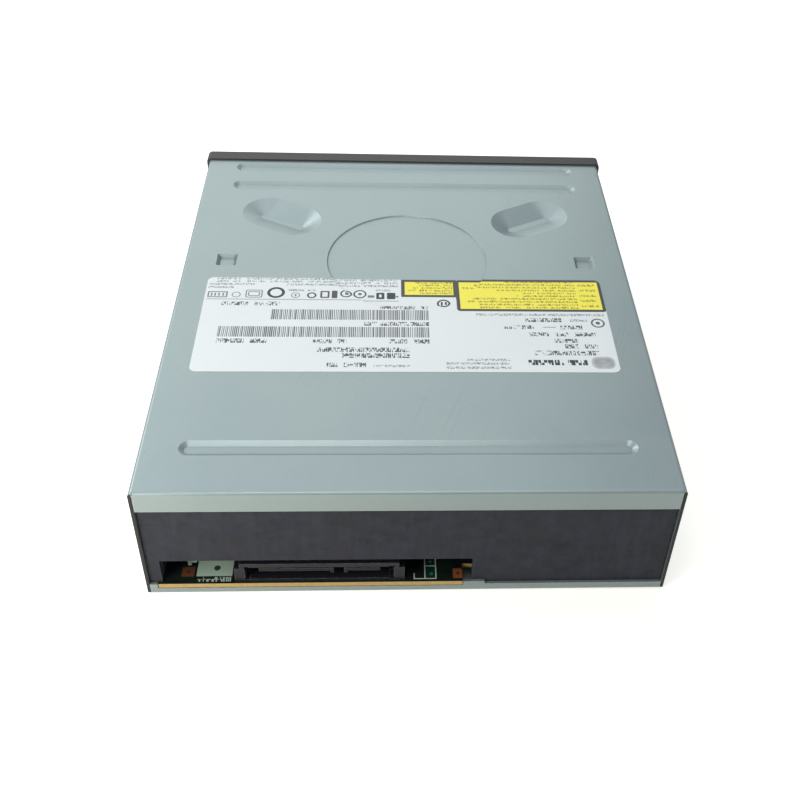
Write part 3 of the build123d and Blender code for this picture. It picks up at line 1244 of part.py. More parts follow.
def actuator_frame():
    """Yoke round the lens holder, with its two upright cheeks and the magnets' seats."""
    mid = sled_middle()
    floor = SLED_TOP - ACTUATOR_WELL
    frame = block(-YOKE_HALF_X, YOKE_HALF_X, mid - YOKE_HALF_Y, mid + YOKE_HALF_Y, floor, floor + YOKE)
    for side in (-1, 1):
        frame += block(side * (YOKE_HALF_X - CHEEK), side * YOKE_HALF_X, mid - 6, mid + 6, floor, LENS_TOP - 1.0)
        frame += block(-6, 6, mid + side * (YOKE_HALF_Y - YOKE), mid + side * YOKE_HALF_Y, floor, LENS_TOP - 1.4)
    return lowered(frame)


def actuator_magnets():
    mid = sled_middle()
    z, wall = SLED_TOP - ACTUATOR_WELL + YOKE, YOKE_HALF_Y - YOKE
    return [lowered(block(-5, 5, mid + side * (wall - ACTUATOR_MAGNET), mid + side * wall, z, LENS_TOP - 1.6)) for side in (-1, 1)]


def suspension_wires():
    """Eight fine wires that carry the lens holder from the yoke's two cheeks."""
    mid = sled_middle()
    top = LENS_TOP - 0.6
    wires = []
    for side in (-1, 1):
        for depth in (mid - 3.0, mid + 3.0):
            for z in (top - LENS_HOLDER + 0.3, top - 0.3):
                wire = rod_along_x(depth, z, side * (LENS_HOLDER_X + 0.3), side * (YOKE_HALF_X - CHEEK), WIRE)
                wires.append(lowered(wire))
    return wires


def lens_holder():
    mid = sled_middle()
    top = LENS_TOP - 0.6
    holder = plan(RectangleRounded(2 * LENS_HOLDER_X, 2 * LENS_HOLDER_Y, 1), 0, mid, top - LENS_HOLDER, top)
    holder -= post(0, mid, top - LENS_HOLDER, top, LENS - 0.5)
    holder -= post(0, mid, top - 0.9, top, LENS + SCREW_GAP)
    return lowered(holder)


def focus_coils():
    """Flat oval coils on the lens holder's front and rear, facing the magnets."""
    mid, height = sled_middle(), LENS_HOLDER / 2 - FOCUS_COIL_EDGE
    z = LENS_TOP - 0.6 - LENS_HOLDER / 2
    ring = RectangleRounded(2 * FOCUS_COIL_HALF, 2 * height, height * 0.9)
    ring -= Rectangle(2 * (FOCUS_COIL_HALF - FOCUS_COIL_WIRE), 2 * (height - FOCUS_COIL_WIRE / 2 - FOCUS_COIL_EDGE))
    coil = extrude(Plane.XZ * ring, FOCUS_COIL)
    return [lowered(Pos(0, at(mid) + LENS_HOLDER_Y + FOCUS_COIL, z) * coil), lowered(Pos(0, at(mid) - LENS_HOLDER_Y, z) * coil)]


def objective_lens():
    """Flat-rimmed lens with a shallow ball-shaped crown."""
    mid = sled_middle()
    z0 = LENS_TOP - 1.5
    rim = LENS_TOP - LENS_CROWN
    crown = LENS - 0.4
    ball = (crown**2 + LENS_CROWN**2) / (2 * LENS_CROWN)
    cap = Pos(0, at(mid), LENS_TOP - ball) * Sphere(ball) & post(0, mid, rim, LENS_TOP + 1, crown + 0.2)
    return lowered(post(0, mid, z0, rim, LENS) + cap)


def feed_motor():
    end = FEED_MOTOR_FRONT + FEED_MOTOR_LENGTH
    motor = rod_along_y(SCREW_X, SCREW_Z, FEED_MOTOR_FRONT, end, FEED_MOTOR)
    motor -= rod_along_y(SCREW_X, SCREW_Z, end - 6, end, FEED_SCREW * 0.6 + RUNNING_GAP)
    top = plate_z() + TRAVERSE
    foot_in, foot_out = SCREW_X - FEED_MOTOR - 0.6, SCREW_X + FEED_MOTOR + 1.6
    foot = block(foot_in, foot_out, end, end + 1.0, top, SCREW_Z + 4.0)
    foot -= rod_along_y(SCREW_X, SCREW_Z, end - 1, end + 2, FEED_SCREW + 0.3)
    foot += block(foot_in, foot_out, end + 1.0, end + 5.0, top, top + 0.8)
    return lowered(motor + foot)


def feed_screw():
    start = FEED_MOTOR_FRONT + FEED_MOTOR_LENGTH
    screw = rod_along_y(SCREW_X, SCREW_Z, start + 0.4, FEED_END - 0.3, FEED_SCREW)
    screw += rod_along_y(SCREW_X, SCREW_Z, start - 5, start + 0.4, FEED_SCREW * 0.6)
    screw += rod_along_y(SCREW_X, SCREW_Z, FEED_END - 0.3, FEED_END + TRAVERSE + 0.4, FEED_SCREW * 0.6)
    return lowered(screw)


# Disc clamp


def clamp_bridge():
    z = WALL_TOP
    half_y = (BRIDGE_REAR - BRIDGE_FRONT) / 2
    mid = (BRIDGE_FRONT + BRIDGE_REAR) / 2
    fold_in, fold_out = FRAME_SIDE + SEAT_GAP, FRAME_SIDE + SEAT_GAP + BRIDGE
    strip = plan(Rectangle(2 * fold_in, 2 * half_y), 0, mid, z, z + BRIDGE)
    strip += post(0, DISC_DEPTH, z, z + BRIDGE, BRIDGE_DISH + BRIDGE_DISH_SLOPE + 2.5)
    dish = drawn(Circle(BRIDGE_DISH + BRIDGE_DISH_SLOPE), Circle(BRIDGE_DISH), 0, DISC_DEPTH, z + BRIDGE, BRIDGE_DROP)
    strip = emboss(strip, dish, -BRIDGE)
    strip -= post(0, DISC_DEPTH, z - BRIDGE_DROP, z + BRIDGE, CLAMPER + SLIDE_GAP)
    for side in (-1, 1):
        # ends folded down outside the mainframe's side walls
        strip += block(side * fold_in, side * fold_out, mid - 8, mid + 8, z - BRIDGE_FOOT, z + BRIDGE)
        rib = drawn(SlotOverall(30, 5), SlotOverall(28, 3), side * 46, mid, z + BRIDGE, 0.8)
        strip = emboss(strip, rib, -BRIDGE)
    return strip


def bridge_floor():
    """Height of the bridge's dished floor, on which the clamper's flange hangs."""
    return WALL_TOP + BRIDGE - BRIDGE_DROP


def clamper():
    z0 = CLAMPER_BOTTOM
    flange_z = bridge_floor() + SEAT_GAP
    top = flange_z + CLAMPER_FLANGE_HEIGHT
    well = z0 + HUB_HEIGHT + 0.9
    seat = well + 0.6
    points = [(HUB + 0.9, z0), (CLAMPER, z0), (CLAMPER, flange_z), (CLAMPER_FLANGE, flange_z), (CLAMPER_FLANGE, top),
              (CLAMP_MAGNET + RUNNING_GAP, top), (CLAMP_MAGNET + RUNNING_GAP, seat), (0, seat), (0, well), (HUB + 0.9, well)]
    return turned(points, 0, DISC_DEPTH)


def clamp_magnet_z():
    return CLAMPER_BOTTOM + HUB_HEIGHT + 1.5


def clamper_magnet():
    z = clamp_magnet_z()
    return turned([(3, z), (CLAMP_MAGNET, z), (CLAMP_MAGNET, z + CLAMP_MAGNET_HEIGHT), (3, z + CLAMP_MAGNET_HEIGHT)], 0, DISC_DEPTH)


def clamper_yoke():
    z = clamp_magnet_z() + CLAMP_MAGNET_HEIGHT
    yoke = post(0, DISC_DEPTH, z, z + CLAMP_YOKE, CLAMP_MAGNET)
    for number in range(3):
        turn = Rot(Z=number * 120)
        yoke -= Pos(0, at(DISC_DEPTH), z + CLAMP_YOKE / 2) * turn * Pos(CLAMP_MAGNET, 0, 0) * Box(3, 3, CLAMP_YOKE)
    return yoke


# Bezel, button and front board


def front_bezel():
    depth0 = -BEZEL_THICKNESS
    outer = block(-BEZEL_WIDTH / 2, BEZEL_WIDTH / 2, depth0, 0, 0, BEZEL_HEIGHT)
    outer = fillet(outer.edges().filter_by(Axis.Y), BEZEL_CORNER)
    outer = fillet(outer.faces().sort_by(Axis.Y)[0].edges(), 0.7)
    rim = BEZEL_WIDTH / 2 - BEZEL_RIM
    hollow = block(-rim, rim, depth0 + BEZEL_WALL, 0, BEZEL_RIM, BEZEL_HEIGHT - BEZEL_RIM)
    bezel = outer - hollow
    half, low, high = DOOR_HALF + DOOR_GAP, DOOR_BOTTOM - DOOR_GAP, DOOR_TOP + DOOR_GAP
    collar = block(-half - 1.2, half + 1.2, depth0 + BEZEL_WALL, -0.3, low - 1.2, high + 1.2)
    bezel += collar
    bezel -= block(-half, half, depth0, 0, low, high)
    bw, bh = BUTTON_WIDTH / 2 + GAP, BUTTON_HEIGHT / 2 + GAP
    guide = block(BUTTON_X - bw - 1, BUTTON_X + bw + 1, depth0 + BEZEL_WALL, -1.0, BUTTON_Z - bh - 1, BUTTON_Z + bh + 1)
    bezel += guide
    bezel -= block(BUTTON_X - bw, BUTTON_X + bw, depth0, 0, BUTTON_Z - bh, BUTTON_Z + bh)
    lw, lh = LIGHT_WIDTH / 2 + SCREW_GAP, LIGHT_HEIGHT / 2 + SCREW_GAP
    bezel -= block(LIGHT_X - lw, LIGHT_X + lw, depth0, 0, BUTTON_Z - lh, BUTTON_Z + lh)
    bezel -= rod_along_y(PINHOLE_X, BUTTON_Z, depth0, 0, PINHOLE)
    for side in (-1, 1):
        bezel += bezel_hook(side)
    return bezel


def bezel_hook(side):
    """Side arm that runs back between mainframe and cover, its barb in the cover's window."""
    inner = FRAME_SIDE + GAP
    z0, z1 = HOOK_Z - HOOK_WIDTH / 2, HOOK_Z + HOOK_WIDTH / 2
    arm = block(side * inner, side * (inner + HOOK), -BEZEL_THICKNESS + BEZEL_WALL, HOOK_LENGTH, z0, z1)
    barb = make_face(Polyline((0, 0), (0, -2.4), (BARB, 0), close=True))
    x = inner + HOOK
    solid = extrude(Pos(x, at(HOOK_LENGTH), z0) * barb, HOOK_WIDTH)
    if side < 0:
        solid = mirror(solid, Plane.YZ)
    return arm + solid


def eject_button():
    face = -BEZEL_THICKNESS
    button = block(BUTTON_X - BUTTON_WIDTH / 2, BUTTON_X + BUTTON_WIDTH / 2, face, face + BUTTON_THICKNESS,
                   BUTTON_Z - BUTTON_HEIGHT / 2, BUTTON_Z + BUTTON_HEIGHT / 2)
    button = fillet(button.edges().filter_by(Axis.Y), 0.6)
    button = fillet(button.faces().sort_by(Axis.Y)[0].edges(), 0.4)
    stem_end = SMALL_BOARD_FRONT - SWITCH_PLUNGER - BUTTON_TRAVEL - SEAT_GAP
    button += rod_along_y(BUTTON_X, BUTTON_Z, face + BUTTON_THICKNESS, stem_end, BUTTON_STEM)
    half = BUTTON_WIDTH / 2
    for side in (-1, 1):
        # snap arm whose barb keeps the button behind its guide
        arm_x = BUTTON_X + side * half
        button += block(arm_x, arm_x - side * 1.0, face + BUTTON_THICKNESS, 0.2, BUTTON_Z - 1.5, BUTTON_Z + 1.5)
        button += block(arm_x, arm_x + side * 0.9, -1.0 + SLIDE_GAP, 0.2, BUTTON_Z - 1.5, BUTTON_Z + 1.5)
    return button


def light_pipe():
    face = -BEZEL_THICKNESS
    return block(LIGHT_X - LIGHT_WIDTH / 2, LIGHT_X + LIGHT_WIDTH / 2, face + 0.1, DECK_FRONT + 0.6,
                 BUTTON_Z - LIGHT_HEIGHT / 2, BUTTON_Z + LIGHT_HEIGHT / 2)


def front_board():
    board = block(SMALL_BOARD_LEFT, SMALL_BOARD_RIGHT, SMALL_BOARD_FRONT, SMALL_BOARD_REAR, SMALL_BOARD_Z, SMALL_BOARD_Z + SMALL_BOARD)
    board = chamfer(board.edges().filter_by(Axis.Z).sort_by(Axis.Y)[-2:], 2)
    for x in (SMALL_BOARD_LEFT + 3, SMALL_BOARD_RIGHT - 3):
        board -= post(x, SMALL_BOARD_REAR - 3, SMALL_BOARD_Z, SMALL_BOARD_Z + SMALL_BOARD, BOARD_SCREW + GAP)
    return board


def front_board_screws():
    screws = []
    for x in (SMALL_BOARD_LEFT + 3, SMALL_BOARD_RIGHT - 3):
        depth = SMALL_BOARD_REAR - 3
        head = post(x, depth, SMALL_BOARD_Z - BOARD_SCREW_HEAD_HEIGHT, SMALL_BOARD_Z, BOARD_SCREW_HEAD)
        head -= Pos(x, at(depth), SMALL_BOARD_Z - BOARD_SCREW_HEAD_HEIGHT + 0.2) * Box(2.4, 0.5, 0.4)
        screws.append(head + post(x, depth, SMALL_BOARD_Z, SMALL_BOARD_Z + BOARD_SCREW_LENGTH, BOARD_SCREW))
    return screws


def eject_switch():
    width, length, height = SWITCH_SIZE
    z = SMALL_BOARD_Z + SMALL_BOARD
    body = block(BUTTON_X - width / 2, BUTTON_X + width / 2, SMALL_BOARD_FRONT, SMALL_BOARD_FRONT + length, z, z + height)
    return body + rod_along_y(BUTTON_X, BUTTON_Z, SMALL_BOARD_FRONT - SWITCH_PLUNGER, SMALL_BOARD_FRONT, BUTTON_STEM)


def indicator_lamp():
    z = SMALL_BOARD_Z + SMALL_BOARD
    lens = rod_along_y(LIGHT_X, BUTTON_Z, DECK_FRONT + 0.8, SMALL_BOARD_FRONT + 0.4, 1.2)
    return lens + block(LIGHT_X - 1.6, LIGHT_X + 1.6, SMALL_BOARD_FRONT + 0.4, SMALL_BOARD_FRONT + 2.6, z, BUTTON_Z + 1.6)


def main():
    os.makedirs(PARTS, exist_ok=True)
    save("top_cover", top_cover())
    save("bottom_cover", bottom_cover())
    save("case_screws", *case_screws())
    save("rating_label", rating_label())
    save("main_board", main_board())
    save("board_screws", *board_screws())
    save("rear_socket", rear_socket())
    save("socket_contacts", *socket_contacts())
    save("controller_chip", controller_chip())
    save("motor_driver_chip", motor_driver_chip())
    save("memory_chip", memory_chip())
    save("board_capacitors", *board_capacitors())
    save("ribbon_sockets", *ribbon_sockets())
    save("front_cable", front_cable())
    save("front_cable_socket", front_cable_socket())
    save("mainframe", mainframe())
    save("disc_tray", disc_tray())
    save("tray_door", tray_door())
    save("drive_gear", drive_gear())
    save("pulley_gear", pulley_gear())
    save("motor_pulley", motor_pulley())
    save("drive_belt", drive_belt())
    save("loading_motor", loading_motor())
    save("motor_screws", *motor_screws())
    save("cam_slider", cam_slider())
    save("loader_base", loader_base())
    save("dampers", *dampers())
    save("damper_screws", *damper_screws())
    save("traverse_plate", traverse_plate())
    save("guide_rods", *guide_rods())
    save("rod_holders", *rod_holders())
    save("spindle_motor_base", motor_base())
    save("stator_coils", *stator_coils())
    save("spindle_rotor", rotor())
    save("turntable", turntable())
    save("friction_ring", friction_ring())
    save("pickup_body", pickup_body())
    save("pickup_cover", pickup_cover())
    save("feed_nut", feed_nut())
    save("actuator_frame", actuator_frame())
    save("actuator_magnets", *actuator_magnets())
    save("suspension_wires", *suspension_wires())
    save("lens_holder", lens_holder())
    save("focus_coils", *focus_coils())
    save("objective_lens", objective_lens())
    save("feed_motor", feed_motor())
    save("feed_screw", feed_screw())
    save("clamp_bridge", clamp_bridge())
    save("clamper", clamper())
    save("clamper_magnet", clamper_magnet())
    save("clamper_yoke", clamper_yoke())
    save("front_bezel", front_bezel())
    save("eject_button", eject_button())
    save("light_pipe", light_pipe())
    save("front_board", front_board())
    save("front_board_screws", *front_board_screws())
    save("eject_switch", eject_switch())
    save("indicator_lamp", indicator_lamp())


main()
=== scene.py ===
"""Looks of a half-height internal disc writer, photographed from behind and above.

Galvanised steel case, printed rating label, charcoal rear wall with the data and power socket,
black bezel and tray. Metres, in the part's own frame."""

import bpy
from mathutils import Matrix, Vector

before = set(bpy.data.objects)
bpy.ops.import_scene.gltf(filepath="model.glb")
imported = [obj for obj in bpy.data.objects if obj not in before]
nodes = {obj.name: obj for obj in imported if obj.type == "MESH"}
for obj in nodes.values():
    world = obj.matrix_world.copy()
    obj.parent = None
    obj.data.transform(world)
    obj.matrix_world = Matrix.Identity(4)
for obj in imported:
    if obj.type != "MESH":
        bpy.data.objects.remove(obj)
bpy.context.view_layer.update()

MM = 0.001
PER_METRE = 1000.0

# The part's Y of the case's front edge, in millimetres. Depths below are measured back from it,
# and X grows towards the left edge of the photograph.
FRONT_EDGE = -79.75

# The camera, solved from the case's corners in the photograph
CAMERA_PLACE = (7.33, 272.74, 252.32)
CAMERA_RIGHT = (-0.99770, 0.04840, 0.04743)
CAMERA_DOWN = (-0.00548, 0.64009, -0.76828)
CAMERA_AHEAD = (-0.06754, -0.76677, -0.63836)
CAMERA_NEAR = 0.01
FOCAL_PIXELS = 1073.6
CENTRE_PIXELS = (457.75, 330.91)
FRAME_PIXELS = 800
SENSOR = 36.0

# The stage: floor size, its drop below the part and its glow, and the room's even light
FLOOR_SIZE = 6.0
FLOOR_DROP = 0.0002
FLOOR_GLOW = 0.45
ROOM_COLOUR = (0.95, 1.0, 1.05, 1.0)
ROOM_STRENGTH = 0.43

# Soft lights aimed at the part: name, place, size in metres, power in watts, colour
SOFT_LIGHTS = (
    ("window over the rear", (0.10, 0.36, 0.85), 0.30, 1.10, (1.0, 1.0, 0.98)),
    ("window beyond the front left", (0.55, -0.45, 0.55), 0.30, 1.35, (0.97, 1.0, 1.03)),
    ("low light beyond the front", (0.08, -0.46, 0.26), 0.50, 0.70, (1.0, 1.0, 0.96)),
    ("low light from the rear left", (0.20, 0.22, 0.12), 0.12, 0.42, (1.0, 0.97, 0.90)),
    ("fill from above", (0.0, -0.2, 0.9), 0.60, 1.00, (0.95, 1.0, 1.05)),
)


def srgb(red, green, blue):
    """A colour read as 0 to 255 values, as the linear colour that shaders use."""
    def linear(level):
        level /= 255
        return level / 12.92 if level <= 0.04045 else ((level + 0.055) / 1.055) ** 2.4

    return (linear(red), linear(green), linear(blue), 1.0)


# Shader building


class Wiring:
    """Adds and joins nodes in one material or one group."""

    def __init__(self, tree):
        self.tree = tree
        tree.nodes.clear()

    def feed(self, socket, value):
        """Links an output to a socket, or sets the socket's constant."""
        if isinstance(value, bpy.types.NodeSocket):
            self.tree.links.new(value, socket)
        else:
            socket.default_value = value

    def add(self, kind, inputs=None, **settings):
        node = self.tree.nodes.new(kind)
        for name, value in settings.items():
            setattr(node, name, value)
        for key, value in (inputs or {}).items():
            self.feed(node.inputs[key], value)
        return node

    # Numbers

    def math(self, operation, *values):
        return self.add("ShaderNodeMath", dict(enumerate(values)), operation=operation).outputs[0]

    def times(self, first, *others):
        for other in others:
            first = self.math("MULTIPLY", first, other)
        return first

    def plus(self, first, second):
        return self.math("ADD", first, second)

    def minus(self, first, second):
        return self.math("SUBTRACT", first, second)

    def over(self, first, second):
        return self.math("DIVIDE", first, second)

    def above(self, value, limit):
        return self.math("GREATER_THAN", value, limit)

    def below(self, value, limit):
        return self.math("LESS_THAN", value, limit)

    def larger(self, first, second):
        return self.math("MAXIMUM", first, second)

    def magnitude(self, value):
        return self.math("ABSOLUTE", value)

    def whole(self, value):
        return self.math("FLOOR", value)

    def fraction(self, value):
        return self.math("FRACT", value)

    def spread(self, value, low, high, to_low=0.0, to_high=1.0):
        """Carries the range low to high over to another range, and cuts off what lies outside."""
        keys = {"Value": value, "From Min": low, "From Max": high, "To Min": to_low,
                "To Max": to_high}
        return self.add("ShaderNodeMapRange", keys, clamp=True).outputs[0]

    # Places and directions

    def place(self):
        return self.add("ShaderNodeTexCoord").outputs["Object"]

    def axes(self, vector):
        return self.add("ShaderNodeSeparateXYZ", {0: vector}).outputs

    def across_and_along(self):
        """Millimetres across the case and back from its front edge."""
        axes = self.axes(self.place())
        across = self.over(axes["X"], MM)
        return across, self.minus(self.over(axes["Y"], MM), FRONT_EDGE)

    def stretched(self, place, scale):
        return self.add("ShaderNodeVectorMath", {0: place, 1: scale},
                        operation="MULTIPLY").outputs[0]

    def facing(self, kind="Normal"):
        return self.axes(self.add("ShaderNodeNewGeometry").outputs[kind])

    # Patterns

    def noise(self, where, scale=1.0, detail=0.0, roughness=0.5, dimensions="3D"):
        key = "W" if dimensions == "1D" else "Vector"
        values = {key: where, "Scale": scale, "Detail": detail, "Roughness": roughness}
        return self.add("ShaderNodeTexNoise", values, noise_dimensions=dimensions).outputs["Fac"]

    def grain(self, size, detail=2.0):
        """Even noise with grains of a size in millimetres."""
        return self.noise(self.place(), PER_METRE / size, detail)

    def dice(self, where, dimensions="1D"):
        """A random number and a random colour for each place."""
        key = "W" if dimensions == "1D" else "Vector"
        return self.add("ShaderNodeTexWhiteNoise", {key: where},
                        noise_dimensions=dimensions).outputs

    # Colours

    def tint(self, mask, under, over):
        """The first colour where the mask is 0, the second where it is 1."""
        node = self.add("ShaderNodeMix", data_type="RGBA", blend_type="MIX")
        for index, value in ((0, mask), (6, under), (7, over)):
            self.feed(node.inputs[index], value)
        return node.outputs[2]

    def two_tints(self, mask, first, second):
        return self.tint(mask, srgb(*first), srgb(*second))

    def laid_over(self, base, mask, colour, strength=1.0):
        """Lays a 0 to 255 colour over a base through a mask, at a strength."""
        if strength != 1.0:
            mask = self.times(mask, strength)
        return self.tint(mask, base, srgb(*colour))


FLOAT = "NodeSocketFloat"


def group(name, inputs, build):
    """A shared effect: a node group with numbers for inputs and a mask called Amount."""
    tree = bpy.data.node_groups.new(name, "ShaderNodeTree")
    wiring = Wiring(tree)
    for label, value in inputs:
        socket = tree.interface.new_socket(name=label, in_out="INPUT", socket_type=FLOAT)
        socket.default_value = value
    tree.interface.new_socket(name="Amount", in_out="OUTPUT", socket_type=FLOAT)
    given = wiring.add("NodeGroupInput").outputs
    result = wiring.add("NodeGroupOutput").inputs
    wiring.feed(result["Amount"], build(wiring, given))
    return tree


def effect(w, tree, **values):
    """Places a shared effect in a material and returns its mask."""
    node = w.add("ShaderNodeGroup", node_tree=tree)
    for name, value in values.items():
        node.inputs[name].default_value = value
    return node.outputs["Amount"]


# Shared effects


def make_mottle():
    """Cloudy patches, from 0 to 1, of a given size in millimetres."""
    detail, roughness = 3.0, 0.6
    middle = 0.5

    def build(w, given):
        scale = w.over(PER_METRE, given["Size"])
        cloud = w.noise(w.place(), scale, detail, roughness)
        low, high = w.minus(middle, given["Softness"]), w.plus(middle, given["Softness"])
        return w.spread(cloud, low, high)

    return group("mottle", [("Size", 10.0), ("Softness", 0.2)], build)


def make_edge_wear_and_highlight():
    """Bright on outside edges of a given width in millimetres, broken up by a fine noise: partly
    rubbing, partly a painted highlight along folds and edges.
    """
    flat, sharp = 0.995, 0.86
    break_scale, break_detail = 900.0, 2.0
    break_low, break_high = 0.35, 0.6

    def build(w, given):
        radius = w.times(given["Width"], MM)
        rounded = w.add("ShaderNodeBevel", {"Radius": radius}, samples=4).outputs[0]
        plain = w.add("ShaderNodeNewGeometry").outputs["Normal"]
        same = w.add("ShaderNodeVectorMath", {0: rounded, 1: plain},
                     operation="DOT_PRODUCT").outputs["Value"]
        edge = w.spread(same, flat, sharp)
        broken = w.spread(w.noise(w.place(), break_scale, break_detail), break_low, break_high)
        return w.times(edge, w.times(broken, given["Strength"]))

    return group("rubbed edges and painted highlight", [("Width", 0.3), ("Strength", 0.5)], build)


def make_scratches():
    """Fine straight scratches along one direction, turned by an angle about Z."""
    long_and_thin = (35.0, 1600.0, 35.0)
    line_low, line_high = 0.70, 0.76
    patch_scale, patch_detail = 30.0, 1.0
    patch_low, patch_high = 0.52, 0.62

    def build(w, given):
        place = w.place()
        turned = w.add("ShaderNodeVectorRotate", {"Vector": place, "Angle": given["Angle"]},
                       rotation_type="Z_AXIS").outputs[0]
        lines = w.spread(w.noise(w.stretched(turned, long_and_thin)), line_low, line_high)
        patches = w.spread(w.noise(place, patch_scale, patch_detail), patch_low, patch_high)
        return w.times(lines, patches)

    return group("scratches", [("Angle", 0.0)], build)


def make_painted_crease_shade():
    """Painted shade: how far a place is shut in by what stands round it within a reach in
    millimetres, to darken folds and hollows as shade.
    """
    def build(w, given):
        reach = w.times(given["Reach"], MM)
        open_share = w.add("ShaderNodeAmbientOcclusion", {"Distance": reach}, samples=8,
                           only_local=True).outputs["AO"]
        return w.math("POWER", w.minus(1.0, open_share), given["Falloff"])

    return group("painted shade in hollows", [("Reach", 2.0), ("Falloff", 1.0)], build)


# Wider than any printed mark, so that the line fills the mark
SOLID = 100.0


def make_panel():
    """A printed box with rounded corners, filled or drawn as a line inside its edge."""
    def build(w, given):
        across, along = w.across_and_along()
        reach = []
        for way, middle, half in ((across, "X", "Half across"), (along, "Depth", "Half along")):
            way = w.magnitude(w.minus(way, given[middle]))
            reach.append(w.minus(way, w.minus(given[half], given["Corner"])))
        outside = [w.math("POWER", w.larger(value, 0.0), 2.0) for value in reach]
        corner = w.math("SQRT", w.plus(*outside))
        inner = w.math("MINIMUM", w.larger(*reach), 0.0)
        edge = w.minus(w.plus(corner, inner), given["Corner"])
        drawn = w.above(w.plus(edge, given["Line"]), 0.0)
        return w.times(w.below(edge, 0.0), drawn)

    inputs = [("X", 0.0), ("Depth", 0.0), ("Half across", 1.0), ("Half along", 1.0),
              ("Corner", 0.0), ("Line", SOLID)]
    return group("printed panel", inputs, build)


def panel_mask(w, left, right, front, rear, corner, line):
    """The mask of one printed box, given by its sides. A line width of 0 fills it."""
    values = {"X": (left + right) / 2, "Depth": (front + rear) / 2,
              "Half across": (left - right) / 2, "Half along": (rear - front) / 2,
              "Corner": corner, "Line": line or SOLID}
    return effect(w, PANEL, **values)


FIELD_INPUTS = [("Left", 1.0), ("Right", -1.0), ("Front", 0.0), ("Rear", 1.0)]


def box_mask(w, given):
    """1 inside the box that the group's Left, Right, Front and Rear give, in millimetres."""
    across, along = w.across_and_along()
    inside = w.times(w.below(across, given["Left"]), w.above(across, given["Right"]),
                     w.above(along, given["Front"]), w.below(along, given["Rear"]))
    return across, along, inside


def make_field():
    """A plain printed rectangle."""
    return group("printed field", FIELD_INPUTS, lambda w, given: box_mask(w, given)[2])


def make_bars():
    """Close upright bars of uneven widths, where a label has its bar pattern."""
    bar_step = 0.56
    thin_share, thick_share = 0.32, 0.8

    def build(w, given):
        across, _, inside = box_mask(w, given)
        step = w.over(across, bar_step)
        share = w.spread(w.dice(w.whole(step))["Value"], 0.0, 1.0, thin_share, thick_share)
        return w.times(inside, w.below(w.fraction(step), share))

    return group("printed bars", FIELD_INPUTS, build)


def make_rows():
    """Rows of short upright strokes in runs, standing for fine print.

    They line up at the right, and each row's left end falls short by its own share of Ragged."""
    strokes_per_height, stroke_step = 3.3, 41.0
    thin_share, thick_share = 0.35, 1.05
    drift_per_height, drift_per_row, drift_reach = 0.31, 5.3, 2.2
    run_share = 0.86
    cut_top_odds, cut_top = 0.55, 0.42
    cut_foot_odds, cut_foot = 0.72, 0.4

    def build(w, given):
        across, along, inside = box_mask(w, given)
        down = w.over(w.minus(along, given["Front"]), given["Pitch"])
        row = w.plus(w.whole(down), given["Seed"])
        height = w.over(w.fraction(down), given["Fill"])
        end = w.minus(given["Left"], w.times(w.dice(row)["Value"], given["Ragged"]))

        run = w.over(w.minus(across, given["Right"]), w.times(given["Pitch"], given["Fill"]))
        wander = w.plus(w.times(run, drift_per_height), w.times(row, drift_per_row))
        drift = w.times(w.noise(wander, dimensions="1D"), drift_reach)
        words = w.fraction(w.plus(w.over(run, given["Word"]), drift))

        stroke = w.times(run, strokes_per_height)
        cell = w.plus(w.whole(stroke), w.times(row, stroke_step))
        thrown = w.add("ShaderNodeSeparateColor", {0: w.dice(cell)["Color"]}).outputs
        wide = w.below(w.fraction(stroke), w.spread(thrown[0], 0.0, 1.0, thin_share, thick_share))
        top = w.above(height, w.times(w.above(thrown[1], cut_top_odds), cut_top))
        foot = w.times(w.above(thrown[2], cut_foot_odds), cut_foot)
        foot = w.below(height, w.minus(1.0, foot))
        return w.times(inside, w.below(across, end), w.below(words, run_share), wide, top, foot)

    inputs = FIELD_INPUTS + [("Pitch", 1.2), ("Fill", 0.6), ("Ragged", 0.0), ("Word", 4.0),
                             ("Seed", 0.0)]
    return group("printed rows", inputs, build)


def make_strokes():
    """Short upright strokes in runs all over, of a given letter height, for one-row print."""
    strokes_per_height, cells_down = 3.1, 2.3
    low_odds, high_odds, thin_share, thick_share = 0.08, 0.9, 0.05, 1.1
    drift_across, drift_down, drift_reach = 0.31, 0.6, 2.0
    run_length, run_share = 5.0, 0.88

    def build(w, given):
        axes = w.axes(w.place())
        scale = w.over(PER_METRE, given["Height"])
        run, down = w.times(axes["X"], scale), w.times(axes["Y"], scale)

        def spot(across, along):
            return w.add("ShaderNodeCombineXYZ", {0: across, 1: along}).outputs[0]

        wander = spot(w.times(run, drift_across), w.times(down, drift_down))
        drift = w.times(w.noise(wander, dimensions="2D"), drift_reach)
        words = w.fraction(w.plus(w.over(run, run_length), drift))
        stroke = w.times(run, strokes_per_height)
        cell = spot(w.whole(stroke), w.whole(w.times(down, cells_down)))
        odds = w.dice(cell, "3D")["Value"]
        share = w.spread(odds, low_odds, high_odds, thin_share, thick_share)
        return w.times(w.below(w.fraction(stroke), share), w.below(words, run_share))

    return group("printed strokes", [("Height", 1.9)], build)


MOTTLE, EDGE_WEAR_AND_HIGHLIGHT, SCRATCHES, PAINTED_CREASE_SHADE = (
    make_mottle(), make_edge_wear_and_highlight(), make_scratches(), make_painted_crease_shade())
PANEL, ROWS, BARS, FIELD, STROKES = (
    make_panel(), make_rows(), make_bars(), make_field(), make_strokes())


# Finishes


def new_material(name):
    material = bpy.data.materials.new(name)
    material.use_nodes = True
    wiring = Wiring(material.node_tree)
    shader = wiring.add("ShaderNodeBsdfPrincipled")
    output = wiring.add("ShaderNodeOutputMaterial")
    wiring.feed(output.inputs[0], shader.outputs[0])
    return material, wiring, shader.inputs


def relief(w, surface, height, depth):
    """Bump from a height mask; depth is in millimetres."""
    bump = w.add("ShaderNodeBump", {"Height": height, "Strength": 1.0, "Distance": depth * MM})
    w.feed(surface["Normal"], bump.outputs[0])
